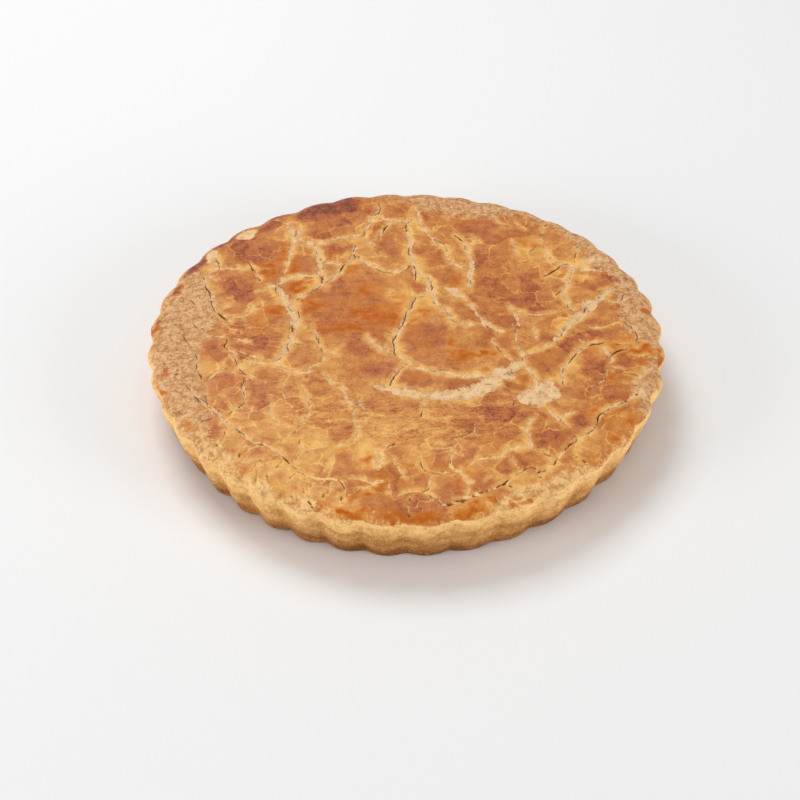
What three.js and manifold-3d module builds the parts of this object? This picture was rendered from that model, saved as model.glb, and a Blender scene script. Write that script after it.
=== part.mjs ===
// A whole heart of palm pie: a closed shortcrust pie with a fluted wall, a rounded lip and a
// glazed lid that cracked in the oven. It is uncut, so it is one solid body.
// Millimetres, +Z up, standing on z = 0 with the origin under the middle of the pie.

import * as THREE from 'three';
import { mergeVertices } from 'three/addons/utils/BufferGeometryUtils.js';
import Module from 'manifold-3d';

const TAU = 2 * Math.PI;
const radians = THREE.MathUtils.degToRad;

// Driving dimensions
const LID_HEIGHT = 29.4; // the lid's mean level
const RIM_RADIUS = 115; // the widest line of the crust, at the tips of its flutes
const RIM_HEIGHT = 24.5; // the level of that widest line
const SHOULDER_RADIUS = 104; // where the flat lid turns over into the lip
const FOOT_RADIUS = 107.8; // the wall's foot, above its rounded edge
const FOOT_ROUND = 2.2; // radius of that edge
const WALL_BOW = 0.5; // how far the wall swells out of a straight cone

// Flutes, pressed by the baking tin
const FLUTE_COUNT = 38;
const FLUTE_DEPTH = 2.2;
const FLUTE_SOFTNESS = 0.03; // 0 would make the valleys knife sharp
const FLUTE_FADE = 1.5; // how soon the flutes die away over the lip, as a power
const FLUTE_UNEVENNESS = { share: 0.22, lobes: 3, start: 1 }; // the depth's change round the pie
const FIRST_TIP = radians(-139.8); // direction of one tip
const FLUTE_DRIFT = radians(2.4); // flutes run closer together on two sides
const DRIFT_AXIS = radians(-84);
const DRIFT_PASSES = 8; // passes that settle a flute's direction

// Slow waves that take the crust out of round: number of lobes, size, direction of a peak
const OUT_OF_ROUND = [
  { lobes: 3, size: 0.9, peak: radians(30) },
  { lobes: 4, size: 0.28, peak: radians(-14) },
];

// The lid's swell: a low dome, and waves given by their size, length, direction and start
const LID_DOME = 0.6;
const SWELL_FADE = 4; // how soon the swell dies away down the wall, as a power
const LID_WAVES = [
  { size: 0.45, length: 83, heading: radians(20), start: 0.6 },
  { size: 0.35, length: 57, heading: radians(105), start: 2.1 },
  { size: 0.25, length: 41, heading: radians(160), start: 4.0 },
];

// Mesh steps
const LID_RING_STEP = 6.5;
const LID_SEGMENTS_PER_RING = 6; // added with each ring outwards
const STEPS_PER_FLUTE = 6;
const LIP_STEPS = 4;
const WALL_STEPS = 2;
const FOOT_STEPS = 2;

// Cracks in the lid, as grooves along a smooth line through a few [x, y] points
const CRACK_STEP = 6; // length of one step along a groove
const CRACK_TAPER = 11; // length over which a groove's end rises out of the lid
const CRACK_FLOOR = 0.35; // a groove's floor as a share of its width
const CRACK_END_FLOOR = 0.3; // how much of that floor is left at its ends
const CRACK_LEAST_STEPS = 4;
const CRACK_CLEARANCE = 0.8; // how far the cutting shape stands above the lid
const CRACK_END_RISE = 0.25; // how far its tapered ends are above the lid
const CRACKS = {
  frontCrescent: { width: 5.4, depth: 1.3, path: [[-14, -33], [4, -41], [25, -41], [40, -30], [50, -18]] },
  middleArm: { width: 2.2, depth: 1.1, path: [[-18, -1], [-9, -12], [0, -19], [12, -25], [36, -28]] },
  centre: { width: 2.2, depth: 1.7, path: [[4, 26], [0, 14], [-4, 1], [-6, -7], [-4, -15]] },
  centreSpur: { width: 1.8, depth: 1.5, path: [[0, -20], [-4, -25], [-7, -34]] },
  leftArc: { width: 3.2, depth: 1.4, path: [[-60, 35], [-54, 23], [-51, 10], [-52, -4], [-57, -20]] },
  leftFork: { width: 2, depth: 1.4, path: [[-51, 26], [-42, 34], [-34, 42], [-26, 57], [-24, 68]] },
  upperLeft: { width: 2.2, depth: 1.2, path: [[-52, 74], [-45, 68], [-41, 55], [-39, 38]] },
  farLeft: { width: 2.4, depth: 1.1, path: [[-57, 85], [-54, 73], [-55, 53], [-59, 36]] },
  farBranch: { width: 1.9, depth: 1.2, path: [[-45, 67], [-30, 74], [-20, 78], [-15, 92]] },
  farSpine: { width: 2, depth: 1.2, path: [[0, 85], [1, 70], [3, 54], [4, 40]] },
  plateFoot: { width: 1.7, depth: 1.3, path: [[-22, 56], [-14, 47], [-5, 45], [2, 50]] },
  farRight: { width: 1.9, depth: 1.1, path: [[5, 90], [9, 78], [18, 67], [21, 54], [28, 48]] },
  rightSpine: { width: 3, depth: 1.2, path: [[26, 73], [29, 62], [30, 51], [28, 31]] },
  middleRight: { width: 1.9, depth: 1.3, path: [[5, 43], [11, 39], [12, 30], [19, 16], [28, 6]] },
  innerRight: { width: 2, depth: 1.3, path: [[26, 27], [31, 16], [36, 6], [44, 2]] },
  rightBand: { width: 4, depth: 1.2, path: [[97, 37], [87, 24], [78, 12], [69, 2], [59, -10]] },
  upperRight: { width: 1.8, depth: 1.2, path: [[77, 50], [75, 40], [72, 29], [75, 17]] },
  rightArm: { width: 2.1, depth: 1.2, path: [[88, -5], [78, -8], [72, -15], [68, -23], [67, -33]] },
  rightPatch: { width: 9.5, depth: 0.9, path: [[53, -21], [56, -30], [59, -39], [56, -51]] },
  leftRing: { width: 2.1, depth: 1.3, path: [[-97, -32], [-85, -46], [-77, -57], [-68, -66], [-53, -77]] },
  frontRing: { width: 1.7, depth: 1.2, path: [[-50, -83], [-45, -87], [-36, -92], [-25, -95]] },
  rightRing: {
    width: 2.2,
    depth: 1.4,
    path: [[100, -40], [87, -49], [80, -58], [70, -69], [60, -82], [47, -87], [36, -96], [18, -106]],
  },
  leftEdge: { width: 1.7, depth: 1.3, path: [[-95, 44], [-90, 28], [-87, 17], [-78, 9]] },
  leftArm: { width: 1.6, depth: 1.1, path: [[-97, 9], [-89, 0], [-78, -3], [-66, -8]] },
  lowerLeft: { width: 1.7, depth: 1.2, path: [[-80, -9], [-74, -21], [-67, -31]] },
  frontLeft: { width: 1.7, depth: 1, path: [[-20, -42], [-23, -55], [-20, -64], [-28, -74]] },
  frontRight: { width: 1.8, depth: 1.1, path: [[23, -85], [33, -81], [50, -73], [50, -62], [54, -53]] },
  frontSpur: { width: 1.7, depth: 1.1, path: [[18, -71], [19, -83], [24, -93], [24, -104]] },
};

// Shallow scars where flakes broke away near the rim: where they run and how large they are
const SCAR_ARCS = [
  { from: radians(-152), to: radians(-118), count: 6, radius: 101, size: 4.4 },
  { from: radians(-66), to: radians(-54), count: 3, radius: 104, size: 3.8 },
  { from: radians(52), to: radians(74), count: 3, radius: 101, size: 4.2 },
];
const SCAR_SIDES = 5;
const SCAR_TILT = radians(14);
const SCAR_DEPTH = 0.35; // at its middle: its high side runs out on the lid
const SCAR_SPREAD = 3; // how far a scar wanders in and out from its arc
const SCAR_SIZES = { least: 0.75, most: 1.25 }; // of the size that its arc gives
const SCAR_HEIGHT = 6; // height of the cutting shape
const SCAR_SEED = 11;

const CRUST_COLOUR = '#d79a58';
const CRUST_ROUGHNESS = 0.55;

// How far the crust stands out of a true circle in one direction.
function outOfRound(angle) {
  return OUT_OF_ROUND.reduce((sum, w) => sum + w.size * Math.cos(w.lobes * (angle - w.peak)), 0);
}

// Direction of a place on the fluted wall, counted in flutes from the first tip.
function fluteAngle(turn) {
  const even = FIRST_TIP + (TAU * turn) / FLUTE_COUNT;
  let angle = even;
  for (let pass = 0; pass < DRIFT_PASSES; pass += 1) {
    angle = even - FLUTE_DRIFT * Math.cos(2 * (angle - DRIFT_AXIS));
  }
  return angle;
}

// How far the wall is pressed in at that place: 0 on a tip, the full depth in a valley.
function fluteDip(turn) {
  const soft = Math.sqrt(FLUTE_SOFTNESS);
  const lobe = Math.hypot(Math.cos(Math.PI * turn), soft) - soft;
  const tip = Math.hypot(1, soft) - soft;
  const { share, lobes, start } = FLUTE_UNEVENNESS;
  const unevenness = 1 + share * Math.sin((lobes * TAU * turn) / FLUTE_COUNT + start);
  return FLUTE_DEPTH * unevenness * (1 - lobe / tip);
}

// The lid's rise above its mean level.
function lidSwell(x, y) {
  const edge = Math.min(1, Math.hypot(x, y) / SHOULDER_RADIUS);
  const waves = LID_WAVES.map((w) => {
    const along = x * Math.cos(w.heading) + y * Math.sin(w.heading);
    return w.size * Math.sin((TAU * along) / w.length + w.start);
  });
  return waves.reduce((sum, rise) => sum + rise, LID_DOME * (1 - edge * edge));
}

function lidHeight(x, y) {
  return LID_HEIGHT + lidSwell(x, y);
}

// The wall's section at a flute's tip, from the shoulder over the lip down to the base.
function wallSection() {
  const stations = [];
  for (let step = 0; step <= LIP_STEPS; step += 1) {
    const bend = ((TAU / 4) * step) / LIP_STEPS;
    stations.push({
      radius: SHOULDER_RADIUS + (RIM_RADIUS - SHOULDER_RADIUS) * Math.sin(bend),
      height: RIM_HEIGHT + (LID_HEIGHT - RIM_HEIGHT) * Math.cos(bend),
      fluted: Math.sin(bend) ** FLUTE_FADE,
    });
  }
  for (let step = 1; step <= WALL_STEPS; step += 1) {
    const share = step / WALL_STEPS;
    const straight = THREE.MathUtils.lerp(RIM_RADIUS, FOOT_RADIUS, share);
    stations.push({
      radius: straight + WALL_BOW * Math.sin(Math.PI * share),
      height: THREE.MathUtils.lerp(RIM_HEIGHT, FOOT_ROUND, share),
      fluted: 1,
    });
  }
  for (let step = 1; step <= FOOT_STEPS; step += 1) {
    const bend = ((TAU / 4) * step) / FOOT_STEPS;
    stations.push({
      radius: FOOT_RADIUS - FOOT_ROUND * (1 - Math.cos(bend)),
      height: FOOT_ROUND * (1 - Math.sin(bend)),
      fluted: 1,
    });
  }
  return stations;
}

// Adds a ring of points; fractions says how far round each one is, and ends with 1.
function addRing(points, fractions, pointAt) {
  const ring = { first: points.length, count: fractions.length - 1, fractions };
  for (let k = 0; k < ring.count; k += 1) {
    points.push(pointAt(k));
  }
  return ring;
}

// A point on the pie's axis, as a ring with no steps.
function addPole(points, height) {
  points.push(new THREE.Vector3(0, 0, height));
  return { first: points.length - 1, count: 0, fractions: [0] };
}

// Joins two rings with different numbers of points by triangles that face outwards.
function stitch(triangles, inner, outer) {
  const at = (ring, k) => ring.first + (ring.count > 0 ? k % ring.count : 0);
  let i = 0;
  let j = 0;
  while (i < inner.count || j < outer.count) {
    const innerNext = i < inner.count ? inner.fractions[i + 1] : Infinity;
    const outerNext = j < outer.count ? outer.fractions[j + 1] : Infinity;
    if (innerNext <= outerNext) {
      triangles.push(at(inner, i), at(outer, j), at(inner, i + 1));
      i += 1;
    } else {
      triangles.push(at(inner, i), at(outer, j), at(outer, j + 1));
      j += 1;
    }
  }
}

// The lid's rings, wider and wider from its middle to the shoulder.
function addLidRings(points, startAngle) {
  const rings = [];
  for (let n = 1; n * LID_RING_STEP < SHOULDER_RADIUS; n += 1) {
    const radius = n * LID_RING_STEP;
    const count = n * LID_SEGMENTS_PER_RING;
    const fractions = Array.from({ length: count + 1 }, (_, k) => k / count);
    rings.push(addRing(points, fractions, (k) => {
      const angle = startAngle + TAU * fractions[k];
      const x = radius * Math.cos(angle);
      const y = radius * Math.sin(angle);
      return new THREE.Vector3(x, y, lidHeight(x, y));
    }));
  }
  return rings;
}

// The fluted rings of the lip, the wall and the foot. The lid's swell dies away down the wall.
function addWallRings(points) {
  const turns = Array.from({ length: FLUTE_COUNT * STEPS_PER_FLUTE + 1 }, (_, k) => k / STEPS_PER_FLUTE);
  const angles = turns.map(fluteAngle);
  const fractions = angles.map((angle) => (angle - angles[0]) / TAU);
  return wallSection().map((station) => addRing(points, fractions, (k) => {
    const share = station.height / LID_HEIGHT;
    const radius = station.radius - station.fluted * fluteDip(turns[k])
      + outOfRound(angles[k]) * station.radius / RIM_RADIUS;
    const x = radius * Math.cos(angles[k]);
    const y = radius * Math.sin(angles[k]);
    return new THREE.Vector3(x, y, station.height + lidSwell(x, y) * share ** SWELL_FADE);
  }));
}

// The whole uncracked crust as one closed mesh.
function makeCrust() {
  const points = [];
  const rings = [
    addPole(points, lidHeight(0, 0)),
    ...addLidRings(points, fluteAngle(0)),
    ...addWallRings(points),
    addPole(points, 0),
  ];
  const triangles = [];
  for (let n = 0; n + 1 < rings.length; n += 1) {
    stitch(triangles, rings[n], rings[n + 1]);
  }
  const geometry = new THREE.BufferGeometry().setFromPoints(points);
  geometry.setIndex(triangles);
  return geometry;
}

// The shape that cuts one crack: a trough along its line, shallow at both ends.
function makeCrackCutter({ width, depth, path }) {
  const line = new THREE.CatmullRomCurve3(path.map(([x, y]) => new THREE.Vector3(x, y, 0)));
  const length = line.getLength();
  const steps = Math.max(CRACK_LEAST_STEPS, Math.round(length / CRACK_STEP));
  const taper = Math.min(CRACK_TAPER, length / 3);
  const floorHalf = (width * CRACK_FLOOR) / 2;
  const slope = (width / 2 - floorHalf) / depth;
  const points = [];
  for (let n = 0; n <= steps; n += 1) {
    const place = line.getPointAt(n / steps);
    const along = line.getTangentAt(n / steps);
    const across = new THREE.Vector3(-along.y, along.x, 0);
    const toEnd = (length * Math.min(n, steps - n)) / steps;
    const share = Math.min(1, toEnd / taper);
    const down = THREE.MathUtils.lerp(-CRACK_END_RISE, depth, share);
    const top = lidHeight(place.x, place.y);
    const floorReach = floorHalf * THREE.MathUtils.lerp(CRACK_END_FLOOR, 1, share);
    const topReach = floorReach + slope * (down + CRACK_CLEARANCE);
    [[-topReach, CRACK_CLEARANCE], [-floorReach, -down], [floorReach, -down], [topReach, CRACK_CLEARANCE]]
      .forEach(([reach, rise]) => {
        const point = place.clone().addScaledVector(across, reach);
        point.z = top + rise;
        points.push(point);
      });
  }
  const corners = 4;
  const triangles = [];
  for (let n = 0; n < steps; n += 1) {
    for (let c = 0; c < corners; c += 1) {
      const near = n * corners + c;
      const nearNext = n * corners + ((c + 1) % corners);
      triangles.push(near, nearNext, near + corners, nearNext, nearNext + corners, near + corners);
    }
  }
  const last = steps * corners;
  triangles.push(0, 2, 1, 0, 3, 2, last, last + 1, last + 2, last, last + 2, last + 3);
  const geometry = new THREE.BufferGeometry().setFromPoints(points);
  geometry.setIndex(triangles);
  return geometry;
}

// A repeatable random number between two limits.
function draw(least, most) {
  return THREE.MathUtils.lerp(least, most, THREE.MathUtils.seededRandom());
}

// The shapes that cut the flake scars of one arc: low tilted drums with a few sides.
function makeScarCutters({ from, to, count, radius, size }) {
  return Array.from({ length: count }, (_, n) => {
    const angle = THREE.MathUtils.lerp(from, to, (n + 0.5) / count);
    const reach = radius + draw(-SCAR_SPREAD, SCAR_SPREAD);
    const drumRadius = size * draw(SCAR_SIZES.least, SCAR_SIZES.most);
    const tiltHeading = draw(0, TAU);
    const x = reach * Math.cos(angle);
    const y = reach * Math.sin(angle);
    const drum = new THREE.CylinderGeometry(drumRadius, drumRadius, SCAR_HEIGHT, SCAR_SIDES);
    drum.deleteAttribute('normal');
    drum.deleteAttribute('uv');
    drum.rotateX(TAU / 4 + SCAR_TILT);
    drum.rotateZ(tiltHeading);
    drum.translate(x, y, lidHeight(x, y) + SCAR_HEIGHT / 2 - SCAR_DEPTH);
    return mergeVertices(drum);
  });
}

const wasm = await Module();
wasm.setup();

function toSolid(geometry) {
  return new wasm.Manifold(new wasm.Mesh({
    numProp: 3,
    vertProperties: new Float32Array(geometry.getAttribute('position').array),
    triVerts: new Uint32Array(geometry.getIndex().array),
  }));
}

function toGeometry(solid) {
  const mesh = solid.getMesh();
  const geometry = new THREE.BufferGeometry();
  geometry.setAttribute('position', new THREE.BufferAttribute(new Float32Array(mesh.vertProperties), 3));
  geometry.setIndex(new THREE.BufferAttribute(new Uint32Array(mesh.triVerts), 1));
  return geometry;
}

// The crust with its cracks and scars cut in, centred over the origin.
function makePie() {
  THREE.MathUtils.seededRandom(SCAR_SEED);
  const cutters = [
    ...Object.values(CRACKS).map(makeCrackCutter),
    ...SCAR_ARCS.flatMap(makeScarCutters),
  ];
  const solid = cutters.reduce((body, cutter) => body.subtract(toSolid(cutter)), toSolid(makeCrust()));
  const geometry = toGeometry(solid);
  geometry.computeBoundingBox();
  const centre = geometry.boundingBox.getCenter(new THREE.Vector3());
  geometry.translate(-centre.x, -centre.y, -geometry.boundingBox.min.z);
  geometry.computeVertexNormals();
  return geometry;
}

const crust = new THREE.MeshStandardMaterial({ color: CRUST_COLOUR, roughness: CRUST_ROUGHNESS });
const pie = new THREE.Mesh(makePie(), crust);
pie.name = 'pie';

const object = new THREE.Group();
object.add(pie);

export default object;
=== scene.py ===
"""A whole heart of palm pie: its fluted, cracked and glazed crust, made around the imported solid."""

import math
from types import SimpleNamespace

import bpy
import numpy as np
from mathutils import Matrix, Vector
from mathutils.geometry import delaunay_2d_cdt


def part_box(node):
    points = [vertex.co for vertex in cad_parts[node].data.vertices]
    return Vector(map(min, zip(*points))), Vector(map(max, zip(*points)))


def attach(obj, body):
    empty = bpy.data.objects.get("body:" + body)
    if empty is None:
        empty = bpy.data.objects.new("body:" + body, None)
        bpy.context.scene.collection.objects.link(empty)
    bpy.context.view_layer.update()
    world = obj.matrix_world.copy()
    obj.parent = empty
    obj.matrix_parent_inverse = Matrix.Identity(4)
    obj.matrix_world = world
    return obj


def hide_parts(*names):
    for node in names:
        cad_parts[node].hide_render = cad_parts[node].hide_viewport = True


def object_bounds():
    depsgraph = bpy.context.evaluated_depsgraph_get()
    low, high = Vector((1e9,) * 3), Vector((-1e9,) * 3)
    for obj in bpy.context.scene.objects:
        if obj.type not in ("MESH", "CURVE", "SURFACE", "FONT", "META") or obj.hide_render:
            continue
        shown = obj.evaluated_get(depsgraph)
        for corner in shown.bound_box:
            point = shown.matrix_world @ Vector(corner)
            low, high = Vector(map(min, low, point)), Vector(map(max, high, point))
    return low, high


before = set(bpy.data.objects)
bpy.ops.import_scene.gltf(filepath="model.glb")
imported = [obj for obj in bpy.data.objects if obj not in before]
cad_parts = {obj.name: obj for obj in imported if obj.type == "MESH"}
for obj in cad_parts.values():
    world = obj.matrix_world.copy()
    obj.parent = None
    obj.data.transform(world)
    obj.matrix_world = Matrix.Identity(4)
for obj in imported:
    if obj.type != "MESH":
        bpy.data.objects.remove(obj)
cad_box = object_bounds()

MM = 0.001  # the shapes below are worked out in millimetres, x to the right and y away

# The crust's form, the same as the solid's
LID_HEIGHT = 29.4
RIM_RADIUS = 115
RIM_HEIGHT = 24.5
SHOULDER_RADIUS = 104
FOOT_RADIUS = 107.8
FOOT_ROUND = 2.2
WALL_BOW = 0.5
FLUTE_COUNT = 38
FLUTE_DEPTH = 2.2
FLUTE_SOFTNESS = 0.03
FLUTE_FADE = 1.5
FLUTE_UNEVENNESS = {"share": 0.22, "lobes": 3, "start": 1}
FIRST_TIP = math.radians(-139.8)
FLUTE_DRIFT = math.radians(2.4)
DRIFT_AXIS = math.radians(-84)
DRIFT_PASSES = 8
OUT_OF_ROUND = [(3, 0.9, 30), (4, 0.28, -14)]  # lobes, size, direction of a peak in degrees
LID_DOME = 0.6
SWELL_FADE = 4
# Waves in the lid: size, length, heading in degrees and start
LID_WAVES = [(0.45, 83, 20, 0.6), (0.35, 57, 105, 2.1), (0.25, 41, 160, 4.0)]

# Mesh steps
STEPS_PER_FLUTE = 18
LIP_ROWS = 16
WALL_ROWS = 20
FOOT_ROWS = 4
LID_STEP = 0.92  # between the points of the plain lid
CRACK_STEP = 0.5  # between the points along a crack
RASTER = 0.25  # cell of the grid that keeps the lid's points apart
CRACK_CLEAR = 2  # cells kept free of plain points round a crack's points
RING_CLEAR = {"crack": 0.7, "plain": 0.9}  # how far the points keep from the shoulder's ring
BESIDE_GAP = 0.36  # from the middle of a gap to the points beside it
BESIDE_BAND = 0.3  # from the edge of a crack to the points outside it, and in a wide crack inside it
WIDE_CRACK = 0.7  # half width of a wide crack
SAME_POINT = 1e-5  # points nearer to each other than this are one

# Cracks in the lid: the pale widths along each, how dark its gap is, that darkness being painted shade, and
# the (x, y) points on its way
MIDDLE_CRACKS = [
    ((3, 4.4, 5, 6, 8, 8.5, 7.5, 3.5), 0.3,
     ((-14, -34), (-4.5, -37.5), (6, -41), (16.5, -41.5), (27, -39.5), (33, -36), (38.5, -30), (44, -24.5),
      (50.5, -18.5))),
    ((1.4, 1.6, 1.6, 1.4), 0.2,
     ((-18, 0), (-14, -7), (-9, -12), (-5, -13.5), (0.5, -19), (4.5, -23), (10.5, -25.5))),
    ((1.6, 2.2, 1.6), 0.1, ((8.5, -25), (17.5, -26.5), (24.5, -28.5), (36.5, -28))),
    ((2, 2.2, 2.4, 2), 0.75,
     ((4, 26.5), (2.5, 21.5), (0, 15.5), (-2, 6.5), (-4, 1), (-5.5, -4.5), (-5.5, -10), (-5, -14.5))),
    ((1.6, 1.5), 0.8, ((0.5, -20), (-3, -23.5), (-5, -27.5), (-7, -34))),
    ((1.6,), 0.3, ((4, 26.5), (7, 27.5), (9.5, 31), (9.5, 38))),
    ((1,), 0, ((1, 34.5), (1.5, 31), (4, 26.5))),
    ((0.6,), 0.6, ((-11, 25), (-8, 27), (-6, 30))),
    ((2, 2.2, 2), 0.6,
     ((6, 44), (9.5, 41), (12, 35), (12, 30), (13.5, 23), (18, 16.5), (20.5, 10.5), (23.5, 7), (30.5, 6))),
    ((1, 2, 2.2), 0.5, ((26, 27), (29.5, 20), (33, 12), (36, 6.5), (39.5, 3.5), (44.5, 2))),
    ((3, 4, 2), 0.1, ((17.5, 34), (22.5, 30), (26.5, 26.5))),
    ((0.9, 1.1), 0.5, ((39, -0.5), (38, -4.5), (40.5, -10), (43.5, -14.5), (46, -18.5))),
    ((1.2,), 0.4, ((47.5, 7.5), (48.5, 0), (49, -7), (51, -13.5), (51, -17.5))),
    ((1, 1.4, 1), 0.2, ((46, 24), (47.5, 18.5), (49, 15.5), (50, 9.5), (50.5, 5.5))),
    ((1.1,), 0.1, ((49, 16), (52.5, 17), (57, 14), (66, 15))),
    ((0.8,), 0.1, ((54, 7.5), (57, 3.5), (58, -4))),
    ((1.4, 1.8, 1.4), 0.3, ((50, -17.5), (53, -22.5), (55, -27.5), (55.5, -33.5), (53, -38.5), (49, -43))),
    ((2, 3, 3, 1.6), 0.05, ((62, -30), (60, -36), (58, -42.5), (56, -49.5))),
]
LEFT_CRACKS = [
    ((3.4, 3.8, 3.4, 2.8, 2), 0.55,
     ((-60.5, 35), (-56.5, 27.5), (-53, 20.5), (-50.5, 11.5), (-50.5, 2.5), (-52.5, -6.5), (-54.5, -15),
      (-57.5, -20.5))),
    ((1,), 0.6, ((-50, 25.5), (-49, 18.5), (-48.5, 11))),
    ((1.8, 2, 2, 1.8), 0.75,
     ((-50, 26), (-46.5, 29), (-42, 34), (-36, 40), (-31.5, 46), (-29.5, 51), (-25.5, 55), (-25, 62),
      (-23.5, 69))),
    ((2, 2.4, 2.2, 2), 0.6,
     ((-53.5, 74), (-47.5, 70.5), (-43.5, 66.5), (-41.5, 59.5), (-40.5, 52), (-40, 45.5), (-39, 37.5))),
    ((2.4, 2.4, 1.4, 0.8), 0.1,
     ((-57.5, 85.5), (-55, 78), (-54, 69), (-55, 58.5), (-56, 49.5), (-58.5, 37))),
    ((1.4, 1.8), 0.2, ((-53, 84.5), (-51.5, 79.5), (-52.5, 73.5))),
    ((1.8, 2.2, 1.8), 0.3, ((-59.5, 36), (-54.5, 41), (-47.5, 43), (-40.5, 43))),
    ((1.8,), 0.3, ((-59.5, 35), (-63.5, 34.5), (-68, 32))),
    ((1.4, 2, 1.6), 0.9, ((-74, 54), (-72, 49.5), (-70, 45.5), (-67.5, 39.5))),
    ((1.8, 1.4, 1.2), 0.05, ((-89, 48.5), (-82, 49), (-73, 48.5))),
    ((1.6, 2.4), 0.7, ((-90.5, 65), (-89.5, 56.5), (-87.5, 48.5))),
    ((1.4,), 0.8, ((-95, 41), (-90, 46), (-87.5, 48.5))),
    ((1.5, 1.6, 1.7, 1.6), 0.8,
     ((-94, 42), (-92, 34), (-90.5, 29.5), (-88.5, 22.5), (-86.5, 17.5), (-83, 13), (-79, 9))),
    ((1,), 0.1, ((-79, 9), (-81, 12), (-75, 12), (-71, 15), (-69.5, 20.5), (-66, 23))),
    ((0.9,), 0.4, ((-102, 34.5), (-99, 30), (-94, 28.5))),
    ((0.8,), 0.4, ((-99, 26), (-96, 21.5), (-93, 17.5))),
    ((1.1, 1.3, 1.2, 1), 0.5,
     ((-97, 9.5), (-93, 5), (-89, 0), (-83, -1.5), (-76, -3.5), (-70.5, -5.5), (-67.5, -8.5))),
    ((1.2, 1), 0.7, ((-99, -0.5), (-95, -7.5), (-92, -15), (-91.5, -23), (-89, -29.5))),
    ((1.2, 1.4, 1.2), 0.62,
     ((-79.5, -4), (-80, -9), (-76, -13.5), (-74.5, -19.5), (-72, -25), (-66.5, -31))),
    ((1.1,), 0.1, ((-77, -12), (-69.5, -14.5), (-62.5, -19), (-57.5, -20.5))),
    ((1.2,), 0.2, ((-71, -20), (-64.5, -20.5), (-57.5, -20.5))),
    ((1.6, 1.6, 1.2), 0.1, ((-57.5, -20.5), (-52.5, -24.5), (-46.5, -26.5), (-40.5, -26))),
    ((1.2,), 0.3, ((-86, -31.5), (-82, -26.5), (-78, -24))),
    ((0.9,), 0.7, ((-103, -20), (-100, -26.5), (-96, -32.5), (-91, -39.5), (-85.5, -45.5))),
    ((1, 1.8, 1.6, 1.2), 0.6, ((-42, 8), (-40.5, 0.5), (-39, -6), (-37, -11.5), (-35, -14.5))),
    ((0.8,), 0.4, ((-35.5, -12.5), (-30.5, -14.5))),
    ((1.1,), 0.3, ((-35, -14.5), (-37.5, -19.5), (-42, -23.5), (-43.5, -30))),
    ((0.7,), 0.4, ((-51.5, -6), (-47.5, -6.5), (-43.5, -7.5))),
]
BACK_CRACKS = [
    ((1.6, 1.8, 2, 2, 2.2, 2.2), 0.7,
     ((-44, 67.5), (-37.5, 70.5), (-29.5, 74), (-21, 76), (-19.5, 81.5), (-16.5, 89), (-13.5, 95),
      (-13, 100.5))),
    ((0.9,), 0.5, ((-20, 75.5), (-18, 70), (-15, 65), (-13, 59.5))),
    ((1, 1.4, 2, 2), 0.7, ((-14, 70.5), (-11.5, 77.5), (-8.5, 84.5), (-5, 87), (0, 86), (3, 89))),
    ((1.6,), 0.4, ((-15, 90), (-10, 88.5), (-6, 87))),
    ((1.6, 1.8, 2.2, 2.4), 0.6, ((0, 86), (0.5, 78), (1.5, 70), (1.5, 60.5), (3, 53.5), (3.5, 49))),
    ((2, 1.8), 0.85, ((3.5, 50), (4, 45), (4, 39.5))),
    ((2.2, 1.6, 1.6, 1.4, 1.8), 0.3,
     ((5, 98), (5.5, 90.5), (7.5, 82.5), (11.5, 74.5), (14, 68.5), (18.5, 66.5), (19, 58.5), (21.5, 53),
      (26.5, 49))),
    ((0.8,), 0.9, ((13, 72), (18, 68.5))),
    ((0.9,), 0.4, ((5, 69), (3.5, 64.5), (2, 61))),
    ((1.4, 1.8, 1.8, 1.6), 0.75,
     ((-22.5, 57.5), (-18.5, 51.5), (-13, 46.5), (-8, 44.5), (-3, 45.5), (2, 50))),
    ((1.4,), 0.3, ((-40.5, 53), (-35.5, 53.5), (-32.5, 52.5), (-30, 49.5))),
    ((0.6,), 0.8, ((-33.5, 56), (-33, 58.5), (-30, 59.5))),
    ((1.4, 1.6, 2, 3, 2, 1.8), 0.15,
     ((24.5, 76), (27, 69), (29, 60.5), (30.5, 51.5), (29.5, 44), (29, 31.5))),
    ((0.9,), 1, ((23, 76), (26, 72))),
    ((1.4,), 0.1, ((34.5, 70), (28.5, 68.5))),
    ((0.8,), 0.8, ((42.5, 90.5), (44, 86), (46.5, 83.5), (50, 81.5))),
    ((0.8,), 0.7, ((51, 87), (53.5, 83), (56.5, 79))),
    ((0.9,), 0.45, ((68.5, 87), (65.5, 80), (64, 71), (61, 65), (57, 61.5))),
    ((0.9,), 0.7, ((80.5, 64.5), (79.5, 59), (78.5, 54))),
    ((1, 1.6), 0.1, ((65, 65), (66.5, 59.5), (69, 54), (72, 51.5))),
    ((2, 2.8, 2.4, 1.6), 0.25, ((71, 52), (77, 51), (82.5, 48.5), (93.5, 47))),
    ((2,), 0.05, ((82.5, 52.5), (88.5, 55), (96, 59))),
    ((0.8,), 0.95, ((71, 49.5), (68, 46.5), (64, 43.5))),
    ((2, 1.8, 1.6), 0.55,
     ((77, 50.5), (77, 45.5), (75, 39.5), (72.5, 33.5), (72, 27.5), (74, 19.5), (77, 15.5))),
    ((0.8,), 0.6, ((72, 33), (68, 28))),
    ((1,), 0.1, ((51, 70), (50.5, 64), (53, 59))),
]
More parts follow.
